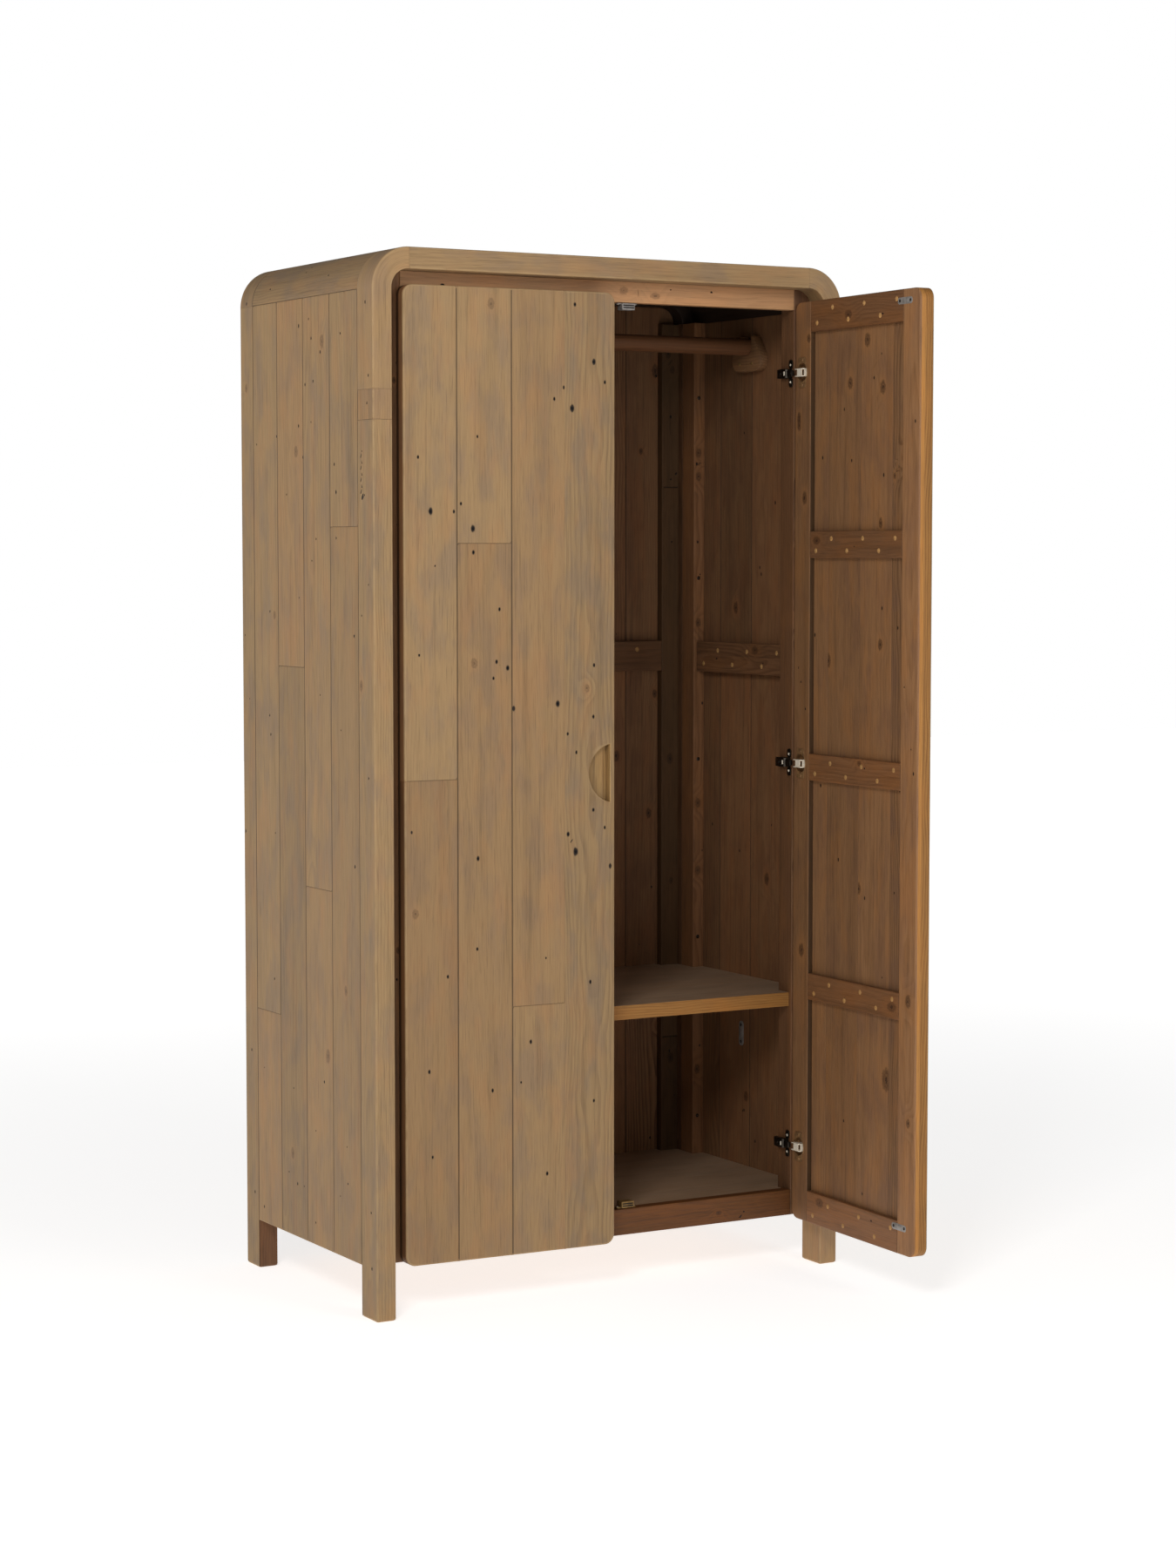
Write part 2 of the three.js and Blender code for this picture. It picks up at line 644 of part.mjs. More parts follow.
function buildDoors() {
  const pivotX = DOOR_EDGE_X - PIVOT_U;
  const pivotY = DOOR_BACK_Y + PIVOT_V;
  const rightDoor = new THREE.Group();
  rightDoor.position.set(pivotX, pivotY, 0);
  rightDoor.rotation.z = THREE.MathUtils.degToRad(RIGHT_OPENING_DEG);
  const leftDoor = new THREE.Group();
  leftDoor.position.set(-pivotX, pivotY, 0);
  leftDoor.rotation.z = -THREE.MathUtils.degToRad(LEFT_OPENING_DEG);
  armoire.add(rightDoor, leftDoor);
  for (const [name, geometry, look] of doorPieces()) {
    geometry.translate(PIVOT_U, -PIVOT_V, 0);
    add(`right_door_${name}`, geometry, look, rightDoor);
    add(`left_door_${name}`, mirrored(geometry), look, leftDoor);
  }
}

// ---- Assembly ---------------------------------------------------------------

buildOuterFrame();
buildShell();
buildFaceFrame();
buildBack();
buildFloorAndShelf();
buildClothesRail();
buildCatches();
buildHingeArms();
buildDoors();

// The origin lies on the floor, in the middle of the space that the armoire
// takes up with its right door standing open.
armoire.updateMatrixWorld(true);
const bounds = new THREE.Box3().setFromObject(armoire, true);
armoire.position.y = -(bounds.min.y + bounds.max.y) / 2;

export default armoire;
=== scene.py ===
"""The looks of the two-door armoire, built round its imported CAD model.

Every wooden CAD node is shown as separate boards with eased edges, open joints,
nail holes and knots. The hinges, catches, screws and plugs are made finer too.
Lengths are in metres. A board is drawn in its own coordinates: p across the
grain, q along it, and w from its face into its thickness.
"""

import json
import math
import random
import zlib

import bpy
import numpy as np
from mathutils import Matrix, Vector


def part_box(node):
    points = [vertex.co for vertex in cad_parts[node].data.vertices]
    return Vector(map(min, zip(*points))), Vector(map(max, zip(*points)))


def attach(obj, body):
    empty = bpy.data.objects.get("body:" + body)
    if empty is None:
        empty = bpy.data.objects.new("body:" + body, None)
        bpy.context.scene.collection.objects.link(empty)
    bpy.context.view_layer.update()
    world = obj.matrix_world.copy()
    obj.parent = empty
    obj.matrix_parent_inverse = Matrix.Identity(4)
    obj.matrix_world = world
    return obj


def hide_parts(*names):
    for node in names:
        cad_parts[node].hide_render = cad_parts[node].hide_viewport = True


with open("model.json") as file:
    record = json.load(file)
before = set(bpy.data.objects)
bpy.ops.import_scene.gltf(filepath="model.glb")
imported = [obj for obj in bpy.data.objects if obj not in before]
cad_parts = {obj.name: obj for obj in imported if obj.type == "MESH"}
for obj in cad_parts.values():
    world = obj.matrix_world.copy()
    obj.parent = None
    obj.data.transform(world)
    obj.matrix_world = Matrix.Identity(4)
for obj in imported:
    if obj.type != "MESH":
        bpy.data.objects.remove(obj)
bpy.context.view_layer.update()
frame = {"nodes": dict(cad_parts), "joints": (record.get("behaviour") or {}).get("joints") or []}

MM = 0.001
LEFT, RIGHT = -1, 1
SIDE_NAMES = {LEFT: "left", RIGHT: "right"}

# ---- Materials ----------------------------------------------------------------


def rgb(text):
    """A linear colour from its sRGB hex code."""
    values = [int(text[i:i + 2], 16) / 255 for i in (0, 2, 4)]
    linear = [c / 12.92 if c <= 0.04045 else ((c + 0.055) / 1.055) ** 2.4 for c in values]
    return (*linear, 1.0)


class Graph:
    """Short calls for building one material's nodes."""

    def __init__(self, name):
        self.material = bpy.data.materials.new(name)
        self.material.use_nodes = True
        self.tree = self.material.node_tree
        self.shader = self.tree.nodes["Principled BSDF"]

    def node(self, kind, inputs, **settings):
        made = self.tree.nodes.new("ShaderNode" + kind)
        for key, value in settings.items():
            setattr(made, key, value)
        for key, value in inputs.items():
            self.feed(made.inputs[key], value)
        return made

    def feed(self, socket, value):
        if isinstance(value, bpy.types.NodeSocket):
            self.tree.links.new(value, socket)
        else:
            socket.default_value = value

    def attribute(self, name, output="Vector"):
        return self.node("Attribute", {}, attribute_name=name).outputs[output]

    def math(self, operation, *values):
        return self.node("Math", dict(enumerate(values)), operation=operation).outputs[0]

    def add(self, a, b):
        return self.math("ADD", a, b)

    def times(self, a, b):
        return self.math("MULTIPLY", a, b)

    def vector(self, operation, *values):
        made = self.node("VectorMath", dict(enumerate(values)), operation=operation)
        return made.outputs["Value" if operation == "LENGTH" else "Vector"]

    def split(self, vector):
        return self.node("SeparateXYZ", {"Vector": vector}).outputs

    def join(self, x, y, z):
        return self.node("CombineXYZ", {"X": x, "Y": y, "Z": z}).outputs[0]

    def noise(self, vector, scale, detail=2.0, roughness=0.5):
        stretched = self.vector("MULTIPLY", vector, scale)
        inputs = {"Vector": stretched, "Scale": 1.0, "Detail": detail, "Roughness": roughness}
        return self.node("TexNoise", inputs).outputs["Fac"]

    def sway(self, value, noise, amount):
        """The value pushed either way by a noise."""
        return self.add(value, self.times(self.add(noise, -0.5), amount))

    def step(self, value, low, high, to_low=0.0, to_high=1.0):
        """A soft step as value goes from low to high."""
        inputs = {"Value": value, "From Min": low, "From Max": high,
                  "To Min": to_low, "To Max": to_high}
        made = self.node("MapRange", inputs, interpolation_type="SMOOTHSTEP")
        return made.outputs["Result"]

    def mix(self, factor, a, b, blend="MIX"):
        made = self.node("Mix", {0: factor, 6: a, 7: b}, data_type="RGBA", blend_type=blend)
        return made.outputs[2]

    def shade(self, factor, colour, amount):
        """Colour made darker where factor is 1, to amount times its value."""
        return self.mix(factor, colour, (amount, amount, amount, 1.0), "MULTIPLY")


RING_PITCH = 5.5 * MM
SPOT_REACH = 6.0  # in spot radii, how far from a knot or a hole its place is stored
NO_SPOT = 12.0  # a distance that no spot marks, in spot radii


def wood(name, light, dark, patch, warm, *, patches=0.5, warmth=0.4, rings=0.35, worn=None,
         knot="3a2415", knot_share=0.8, grain=0.7, spread=0.3):
    """Pine: growth rings, fibre, knots, stained patches, worn edges and dirty joints, with
    painted highlight and painted shade in the pull's pocket.
    """
    g = Graph(name)
    log = g.attribute("log")
    _, y, z = g.split(log)
    lightness_and_shade, tone_warm, tone_figure = g.split(g.attribute("tone"))
    edge = g.attribute("edge", "Fac")

    def far_from(spot):
        """Distance from the nearest knot or hole, in spot radii."""
        along_x, along_y, reach = g.split(g.attribute(spot))
        away = g.times(g.math("SUBTRACT", 1.0, reach), NO_SPOT)
        return g.add(g.vector("LENGTH", g.join(along_x, along_y, 0.0)), away)

    knot_far, hole_far = far_from("knot"), far_from("hole")

    # Growth rings round a wandering pith, pushed aside by each knot
    wander = g.noise(log, (1.7, 5.0, 5.0), 3.0)
    wobble = g.noise(log, (9.0, 60.0, 60.0), 2.0)
    squeeze = g.step(knot_far, 0.0, 5.0, 1.0, 0.0)
    across = g.vector("LENGTH", g.join(0.0, y, z))
    pushed = g.sway(g.sway(across, wander, 0.055), wobble, 0.004)
    pushed = g.add(pushed, g.times(squeeze, 0.011))
    ring = g.math("FRACT", g.math("DIVIDE", pushed, RING_PITCH))
    rise = g.step(ring, 0.25, 0.86)
    fall = g.step(ring, 0.9, 1.0, 1.0, 0.0)
    late = g.times(rise, fall)

    # Fibre, streaks and stained patches
    fibre = g.noise(log, (14.0, 1100.0, 1100.0), 2.0, 0.6)
    pore = g.noise(log, (15.0, 560.0, 560.0), 2.0, 0.7)
    streak = g.noise(log, (3.0, 130.0, 130.0), 3.0, 0.6)
    band = g.noise(log, (1.6, 30.0, 30.0), 2.0, 0.5)
    blotch = g.noise(log, (9.0, 19.0, 19.0), 3.0, 0.55)
    warm_blotch = g.noise(g.vector("ADD", log, (7.3, 1.9, 4.1)), (8.0, 24.0, 24.0), 3.0, 0.55)

    ring_power = g.times(g.add(g.times(tone_figure, 1.2), 0.25), rings)
    colour = g.mix(g.times(late, ring_power), rgb(light), rgb(dark))
    colour = g.mix(g.times(g.step(blotch, 0.42, 0.66), patches), colour, rgb(patch))
    warm_share = g.add(g.times(g.step(warm_blotch, 0.45, 0.7), warmth), g.times(tone_warm, 0.3))
    colour = g.mix(warm_share, colour, rgb(warm))
    for marks, low, high, amount in ((streak, 0.5, 0.74, 0.78), (band, 0.52, 0.75, 0.87),
                                     (fibre, 0.5, 0.72, 0.8), (pore, 0.54, 0.68, 0.76)):
        colour = g.shade(g.times(g.step(marks, low, high), grain), colour, amount)
    colour = g.mix(g.step(pore, 0.42, 0.3, 0.0, 0.3 * grain), colour, rgb(light))
    colour = g.mix(g.step(fibre, 0.42, 0.3, 0.0, 0.14), colour, rgb(warm))
    # The board's tone lightens or darkens it: partly its own colour, and on some boards painted
    # shade
    value = g.add(g.times(lightness_and_shade, spread), 1.0 - spread / 2)
    colour = g.mix(1.0, colour, g.join(value, value, value), "MULTIPLY")

    # Knots: dark heart and rim, with an orange ring of grain round them
    halo = g.step(knot_far, 0.9, 3.2, 0.4 * knot_share, 0.0)
    colour = g.mix(halo, colour, rgb(warm))
    crumble = g.noise(log, (260.0, 260.0, 260.0), 3.0, 0.6)
    ragged = g.sway(g.sway(knot_far, streak, 0.9), crumble, 0.9)
    knot_ring = g.math("SINE", g.times(ragged, 11.0))
    knot_tint = g.times(g.add(g.times(knot_ring, 0.22), 0.6), knot_share)
    body = g.step(ragged, 0.55, 1.1, 1.0, 0.0)
    colour = g.mix(g.times(body, knot_tint), colour, rgb(knot))
    heart = g.step(ragged, 0.1, 0.55, 1.0, 0.0)
    rim = g.times(g.step(ragged, 0.7, 0.95), g.step(ragged, 0.95, 1.25, 1.0, 0.0))
    dark = g.math("MAXIMUM", g.times(rim, 0.6), g.times(heart, 0.7))
    colour = g.shade(g.times(dark, knot_share), colour, 0.3)

    # Stain round nail holes, worn edges and dirt in the joints. In the pull's pocket the same
    # edge masks give a light rim that is partly wear and partly painted highlight, and darker
    # walls that are partly dirt and partly painted shade.
    stain = g.step(g.sway(hole_far, streak, 1.4), 1.0, 1.9, 0.97, 0.0)
    colour = g.mix(stain, colour, rgb("1c1009"))
    edge_wear_and_highlight = g.add(edge, g.times(g.add(g.noise(log, (30.0, 30.0, 30.0), 3.0), -0.55), 1.3))
    if worn:
        colour = g.mix(g.step(edge_wear_and_highlight, 0.55, 1.05, 0.0, 0.45), colour, rgb(worn))
    dirt_and_shade = g.step(g.times(edge, -1.0), 0.5, 1.0)
    colour = g.shade(g.times(dirt_and_shade, 0.85), colour, 0.2)
    g.feed(g.shader.inputs["Base Color"], colour)

    rough = g.add(g.times(late, -0.08), g.add(g.times(fibre, 0.16), 0.56))
    g.feed(g.shader.inputs["Roughness"], rough)
    g.shader.inputs["Specular IOR Level"].default_value = 0.32

    height = g.add(g.times(late, 0.35), g.times(fibre, -0.55))
    height = g.add(height, g.times(streak, -0.5))
    height = g.add(height, g.step(knot_far, 0.7, 1.2, 0.6, 0.0))
    bump = g.node("Bump", {"Strength": 0.35, "Distance": 0.0006, "Height": height})
    g.feed(g.shader.inputs["Normal"], bump.outputs["Normal"])
    return g.material


def pit_material():
    """The black inside of nail holes and cracks: partly grime and partly painted shade. It is
    also the painted shadow in the gap beside each door, in the hinge bores, in the catches'
    slots and in the strike plates' screw holes.
    """
    g = Graph("pit")
    grime_and_shade = g.noise(g.attribute("log"), (300.0, 300.0, 300.0), 2.0)
    colour = g.mix(grime_and_shade, rgb("070403"), rgb("160d07"))
    g.feed(g.shader.inputs["Base Color"], colour)
    g.feed(g.shader.inputs["Roughness"], g.add(g.times(grime_and_shade, 0.2), 0.75))
    return g.material


def metal(name, base, shadow, roughness, tarnish, metallic=1.0):
    """Plated steel with brushed lines, a mottled polish and dulled patches."""
    g = Graph(name)
    where = g.node("TexCoord", {}).outputs["Object"]
    brushed = g.noise(where, (60.0, 60.0, 1500.0), 2.0)
    mottled = g.noise(where, (90.0, 90.0, 90.0), 4.0)
    colour = g.mix(g.times(g.step(mottled, 0.4, 0.7), tarnish), rgb(base), rgb(shadow))
    colour = g.shade(g.step(brushed, 0.5, 0.75), colour, 0.85)
    g.feed(g.shader.inputs["Base Color"], colour)
    g.shader.inputs["Metallic"].default_value = metallic
    g.feed(g.shader.inputs["Roughness"], g.add(g.times(mottled, 0.25), roughness))
    bump = g.node("Bump", {"Strength": 0.15, "Distance": 0.0002, "Height": brushed})
    g.feed(g.shader.inputs["Normal"], bump.outputs["Normal"])
    return g.material


LOOKS = {
    "weathered": wood("weathered_pine", "a4865e", "846849", "8a755f", "b08356",
                      patches=0.6, warmth=0.36, rings=0.36, worn="b3956c", knot="4a3423",
                      knot_share=0.6, grain=0.8, spread=0.16),
    "facing": wood("facing_pine", "b48a62", "8b6444", "9c7b5c", "c18c5e",
                   patches=0.4, warmth=0.5, rings=0.3, worn="c09468", knot_share=0.6),
    "inside": wood("inside_pine", "805d3e", "563822", "6b4a33", "865633",
                   patches=0.6, warmth=0.35, rings=0.6, knot="1e110a", knot_share=0.95,
                   grain=1.0, spread=0.38),
    # dim and deep are painted shade: darker copies of the pine for faces that lie in shade, deep
    # for the darkest ones under the top and round the rear arch
    "dim": wood("shaded_pine", "523b24", "382714", "45331c", "593b20",
                patches=0.6, warmth=0.3, rings=0.5, knot="1e110a", grain=1.0),
    "deep": wood("darkened_pine", "2f2117", "1f140d", "281b13", "342316",
                 patches=0.6, warmth=0.3, rings=0.4, knot="120a06", grain=0.9),
    # floor is partly painted light: paler than the wood itself, to make up for light that
    # doesn't reach the floor and shelf inside the case
    "floor": wood("floor_pine", "a58a70", "846b54", "937a61", "9f7d5e",
                  patches=0.6, warmth=0.25, rings=0.25, knot="24140b", grain=0.45, spread=0.07),
    "batten": wood("batten_pine", "724f34", "4e321e", "5f4229", "7d522e",
                   patches=0.5, warmth=0.4, rings=0.5, knot="1e110a", grain=1.0),
    "rod": wood("rod_pine", "70492c", "4f331e", "5c3f29", "7a4a28",
                patches=0.4, warmth=0.3, rings=0.4, knot="1e110a", grain=0.9),
    "kick": wood("low_rail_pine", "6b411d", "4a2c13", "5a3a1a", "77461c",
                 patches=0.5, warmth=0.4, rings=0.5, knot="1e110a", grain=1.0),
    "door_back": wood("door_back_pine", "8e6846", "664529", "775741", "9b6a3e",
                      patches=0.6, warmth=0.45, rings=0.5, knot="24130a", knot_share=0.95,
                      grain=1.0),
    "ledge": wood("ledge_pine", "80593a", "5a3b25", "6d4c32", "89582f",
                  patches=0.5, warmth=0.45, rings=0.5, knot="24130a", grain=1.0),
    "honey": wood("honey_pine", "ab793e", "885824", "9b6a35", "b47534",
                  patches=0.4, warmth=0.4, rings=0.6, knot="4a2a14", grain=0.9),
    # For the pull, the worn colour lights the rim and the chord: partly wear and partly painted
    # highlight
    "pull": wood("pull_pine", "b08c5a", "886840", "9a7c54", "bc8e54", worn="d8ae70",
                 patches=0.4, warmth=0.4, rings=0.4, grain=0.9),
    "plug": wood("plug_pine", "bb915c", "92693c", "a57d4e", "c08a4c",
                 patches=0.4, warmth=0.4, rings=0.5),
    "pit": pit_material(),
    "dark_steel": metal("dark_steel", "4a443d", "2a2622", 0.3, 0.7),
    # The nickel is near white and only a quarter metallic so that it shows bright: a painted
    # reflection of the lamps
    "nickel": metal("bright_nickel", "fff4df", "d2c4a8", 0.3, 0.35, 0.25),
    "bronze": metal("bronzed_steel", "9a754d", "60462f", 0.38, 0.6, 0.45),
    "brass": metal("dull_brass", "9a7a48", "5f4828", 0.36, 0.7, 0.6),
    "grey_steel": metal("grey_steel", "9a9590", "6b6661", 0.42, 0.6, 0.35),
}

# ---- Boards -------------------------------------------------------------------

MARGIN = 4 * MM  # width of the strip of faces inside a board's edge
OPEN_JOINT = 0.8 * MM  # edge radius at which a joint is at its darkest
ROUNDING = (30, 60, 90)  # degrees, the loops of faces round an eased edge
CORNER_STEPS = 6
SHARP = math.radians(42)  # edges that turn more than this aren't smoothed
THICK = 24 * MM  # a board this thick has a strip of faces along its sides as well
FINE = (10 * MM, 11 * MM)  # grid pitches across and along the grain
MEDIUM = (12 * MM, 16 * MM)
ROUND_THE_BEND = (8 * MM, 4.5 * MM)
FRONT, SIDES, BACK, PIT, POCKET = range(5)  # the material of each kind of face
HOLE_RINGS = ((1.0, 0.0), (0.8, 0.8 * MM), (0.55, 2.6 * MM))  # share of the radius, depth


def grid_lines(length, pitch, zones):
    """Where the grid lines cross one side of a board. Zones are (size, steps) at its ends."""
    (low, low_steps), (high, high_steps) = zones
    middle = length - low - high
    count = max(1, round(middle / pitch))
    start = [low * i / low_steps for i in range(low_steps)]
    body = [low + middle * i / count for i in range(count)]
    end = [length - high + high * i / high_steps for i in range(high_steps + 1)]
    return np.array(start + body + end)


def moved_in(lines, length, zones, low_inset, high_inset):
    """The grid lines with the two ends moved inwards, and the middle left in place."""
    low, high = zones[0][0], zones[1][0]
    near = low_inset + lines * (low - low_inset) / low
    far = length - high_inset - (length - lines) * (high - high_inset) / high
    return np.where(lines < low, near, np.where(lines > length - high, far, lines))


def rounded(p, q, size, corners, inset):
    """Carries the square corners of a grid onto arcs. Corners start at p = q = 0."""
    p, q = p.copy(), q.copy()
    width, length = size
    for i, radius in enumerate(corners):
        if radius <= inset:  # a square corner, or one that has shrunk to a point
            continue
        right, top = i in (1, 2), i in (2, 3)
        centre_p = width - radius if right else radius
        centre_q = length - radius if top else radius
        reach = radius - inset
        a = (p - centre_p) * (1 if right else -1) / reach
        b = (q - centre_q) * (1 if top else -1) / reach
        inside = (a > 0) & (b > 0)
        a, b = np.clip(a, 0, 1), np.clip(b, 0, 1)
        out_p = a * np.sqrt(1 - b * b / 2) * reach
        out_q = b * np.sqrt(1 - a * a / 2) * reach
        p = np.where(inside, centre_p + (out_p if right else -out_p), p)
        q = np.where(inside, centre_q + (out_q if top else -out_q), q)
    return p, q


class Board:
    """One board as a closed mesh. Edges are the radii of its left, right, low and high edges:
    positive where the edge is open, and negative where it lies against a neighbour."""

    def __init__(self, name, size, place, *, edges, back_edges=None, corners=(0, 0, 0, 0),
                 pitch=FINE, looks=("weathered",) * 3, holes=(), knots=(), extra_holes=0,
                 extra_knots=0, pockets=(), figure=None, tone=0.0):
        self.name, self.size, self.place = name, size, place
        self.edges = edges
        self.back_edges = back_edges or edges
        self.corners = corners
        self.looks = looks
        self.pockets = pockets
        self.rng = random.Random(zlib.crc32(name.encode()))
        width, length, _ = size
        near = [corners[0] or corners[3], corners[1] or corners[2]]
        low = [corners[0] or corners[1], corners[2] or corners[3]]
        margin = min(MARGIN, width / 4)
        self.zones = [[(r, CORNER_STEPS) if r else (margin, 1) for r in ends]
                      for ends in (near, low)]
        self.lines = [grid_lines(width, pitch[0], self.zones[0]),
                      grid_lines(length, pitch[1], self.zones[1])]
        self.holes = list(holes) + self.scattered(extra_holes, 0.9 * MM, 1.7 * MM)
        self.knots = list(knots) + self.scattered(extra_knots, 3.5 * MM, 10 * MM)
        self.figure = self.rng.random() if figure is None else figure
        self.tone = tone
        self.points, self.faces, self.kinds, self.edge_values = [], [], [], []
        self.rim = self.find_rim()
        self.build()

    def scattered(self, count, low, high):
        width, length, _ = self.size
        spots = []
        for _ in range(count):
            radius = min(self.rng.uniform(low, high), width / 6)
            clear = max(0.12 * width, 1.6 * radius)
            spots.append((self.rng.uniform(clear, width - clear),
                          self.rng.uniform(0.04, 0.96) * length, radius))
        return spots

    # Vertices are kept as (p, q, w) until the end.
    def add_points(self, p, q, w, edge):
        start = len(self.edge_values)
        self.points.append(np.stack([p, q, w], 1))
        self.edge_values.extend(edge)
        return np.arange(start, start + len(p))

    def find_rim(self):
        """Grid indices of the boundary, in order round the board."""
        np_, nq = len(self.lines[0]), len(self.lines[1])
        loop = [(i, 0) for i in range(np_ - 1)]
        loop += [(np_ - 1, j) for j in range(nq - 1)]
        loop += [(i, nq - 1) for i in range(np_ - 1, 0, -1)]
        loop += [(0, j) for j in range(nq - 1, 0, -1)]
        return tuple(np.array(loop).T)

    def rim_radii(self, edges):
        """Radius and state of each boundary vertex's edge."""
        last_p, last_q = len(self.lines[0]) - 1, len(self.lines[1]) - 1
        out = []
        for i, j in zip(*self.rim):
            touching = [edges[k] for k, on in enumerate(
                (i == 0, i == last_p, j == 0, j == last_q)) if on]
            states = [1.0 if e > 0 else -min(1.0, 0.3 + abs(e) / OPEN_JOINT * 0.7)
                      for e in touching]
            out.append((np.mean(np.abs(touching)), np.mean(states)))
        return np.array(out)

    def level(self, share, edges):
        """The grid's two coordinates with the boundary moved in by share of the edge radii."""
        inset = [abs(e) * share for e in edges]
        width, length, _ = self.size
        p = moved_in(self.lines[0], width, self.zones[0], inset[0], inset[1])
        q = moved_in(self.lines[1], length, self.zones[1], inset[2], inset[3])
        grid_p, grid_q = np.meshgrid(p, q, indexing="ij")
        return rounded(grid_p, grid_q, (width, length), self.corners, max(inset))

    def build(self):
        fronts = self.build_face(self.edges, 0.0, True)
        backs = self.build_face(self.back_edges, self.size[2], False)
        loops = [(fronts[self.rim], FRONT)]
        loops += [(loop, FRONT) for loop in self.build_rounding(self.edges, True)]
        side = self.build_rounding(self.back_edges, False)[::-1]
        loops += self.build_wall_strips()
        loops += [(side[0], SIDES)] + [(loop, BACK) for loop in side[1:]]
        loops += [(backs[self.rim], BACK)]
        for (above, _), (below, kind) in zip(loops, loops[1:]):
            self.join_loops(above, below, kind)
        self.finish()

    def build_face(self, edges, depth, front):
        p, q = self.level(1.0, edges)
        shape = p.shape
        state = np.zeros(shape)
        state[self.rim] = self.rim_radii(edges)[:, 1]
        flat = np.full(p.size, depth)
        index = self.add_points(p.ravel(), q.ravel(), flat, state.ravel()).reshape(shape)
        cells = self.cells_of_holes(p, q) if front else {}
        skipped = set()
        if front:
            for pocket in self.pockets:
                skipped |= self.build_pocket(pocket, index)
        for i in range(shape[0] - 1):
            for j in range(shape[1] - 1):
                quad = (index[i, j], index[i + 1, j], index[i + 1, j + 1], index[i, j + 1])
                if (i, j) in skipped:
                    continue
                if (i, j) in cells:
                    self.build_hole(quad, cells[i, j])
                else:
                    self.face(*((quad, FRONT) if front else (quad[::-1], BACK)))
        return index

    def face(self, corners, kind):
        self.faces.append(tuple(int(c) for c in corners))
        self.kinds.append(kind)

    def cells_of_holes(self, p, q):
        """The grid cell of each nail hole, with the hole moved clear of the cell's sides."""
        cells = {}
        for n, (hp, hq, radius) in enumerate(self.holes):
            i = int(np.searchsorted(self.lines[0], hp)) - 1
            j = int(np.searchsorted(self.lines[1], hq)) - 1
            if not (1 <= i < p.shape[0] - 2 and 1 <= j < p.shape[1] - 2) or (i, j) in cells:
                continue
            clear = radius + 0.8 * MM
            room_p, room_q = p[i + 1, j] - p[i, j], q[i, j + 1] - q[i, j]
            if min(room_p, room_q) < 2 * clear:
                continue
            centre_p = min(max(hp, p[i, j] + clear), p[i + 1, j] - clear)
            centre_q = min(max(hq, q[i, j] + clear), q[i, j + 1] - clear)
            self.holes[n] = (centre_p, centre_q, radius)
            cells[i, j] = self.holes[n]
        return cells

    def build_hole(self, quad, hole):
        """A nail hole: an eight-sided pit, a little longer along the grain, in one face."""
        centre_p, centre_q, radius = hole
        turns = [math.radians(225 + 22.5 + 45 * k) for k in range(8)]
        rings = []
        for share, depth in HOLE_RINGS:
            p = np.array([centre_p + radius * share * math.cos(t) for t in turns])
            q = np.array([centre_q + radius * share * 1.25 * math.sin(t) for t in turns])
            rings.append(self.add_points(p, q, np.full(8, depth), np.zeros(8)))
        top = rings[0]
        for k in range(4):
            corner, following = quad[k], quad[(k + 1) % 4]
            before, after, beyond = (2 * k - 1) % 8, 2 * k, (2 * k + 1) % 8
            self.face((corner, top[after], top[before]), FRONT)
            self.face((corner, following, top[beyond], top[after]), FRONT)
        for above, below in zip(rings, rings[1:]):
            self.join_loops(above, below, PIT, inwards=True)
        self.face(rings[-1], PIT)

    def build_pocket(self, pocket, index):
        """Leaves a window in the face, fills it up to the pocket's mouth and sinks the pocket.
        Returns the cells of the window."""
        mouth_p, mouth_q, _ = pocket.rings[0]
        spans = []
        for lines, values in zip(self.lines, (mouth_p, mouth_q)):
            spans.append((int(np.searchsorted(lines, values.min() - 1 * MM)) - 1,
                          int(np.searchsorted(lines, values.max() + 1 * MM))))
        (i0, i1), (j0, j1) = spans
        window = [(i, j0) for i in range(i0, i1)] + [(i1, j) for j in range(j0, j1)]
        window += [(i, j1) for i in range(i1, i0, -1)] + [(i0, j) for j in range(j1, j0, -1)]
        outer = [int(index[i, j]) for i, j in window]
        outer_at = np.array([(self.lines[0][i], self.lines[1][j]) for i, j in window])
        rings = [self.add_points(*ring, state * np.ones(len(ring[0])))
                 for ring, state in zip(pocket.rings, pocket.states)]
        centre = np.array([mouth_p.mean(), mouth_q.mean()])
        self.zip_loops(outer, outer_at - centre, rings[0],
                       np.stack([mouth_p, mouth_q], 1) - centre)
        for above, below in zip(rings, rings[1:]):
            self.join_loops(above, below, POCKET, inwards=True)
        pocket.floor(self, rings[-1])
        return {(i, j) for i in range(i0, i1) for j in range(j0, j1)}

    def zip_loops(self, outer, outer_at, inner, inner_at):
        """Triangles between two loops that both run anticlockwise round the same centre."""
        def turns(at):
            raw = np.arctan2(at[:, 1], at[:, 0])
            start = int(np.argmin(raw))
            return start, np.roll(raw, -start)

        outer_start, outer_turn = turns(outer_at)
        inner_start, inner_turn = turns(inner_at)
        outer, inner = np.roll(outer, -outer_start), np.roll(inner, -inner_start)
        full = 2 * math.pi
        a, b = 0, 0
        while a < len(outer) or b < len(inner):
            next_a = outer_turn[a + 1] if a + 1 < len(outer) else outer_turn[0] + full
            next_b = inner_turn[b + 1] if b + 1 < len(inner) else inner_turn[0] + full
            here, there = outer[a % len(outer)], inner[b % len(inner)]
            if b >= len(inner) or (a < len(outer) and next_a <= next_b):
                self.face((here, outer[(a + 1) % len(outer)], there), FRONT)
                a += 1
            else:
                self.face((here, inner[(b + 1) % len(inner)], there), FRONT)
                b += 1

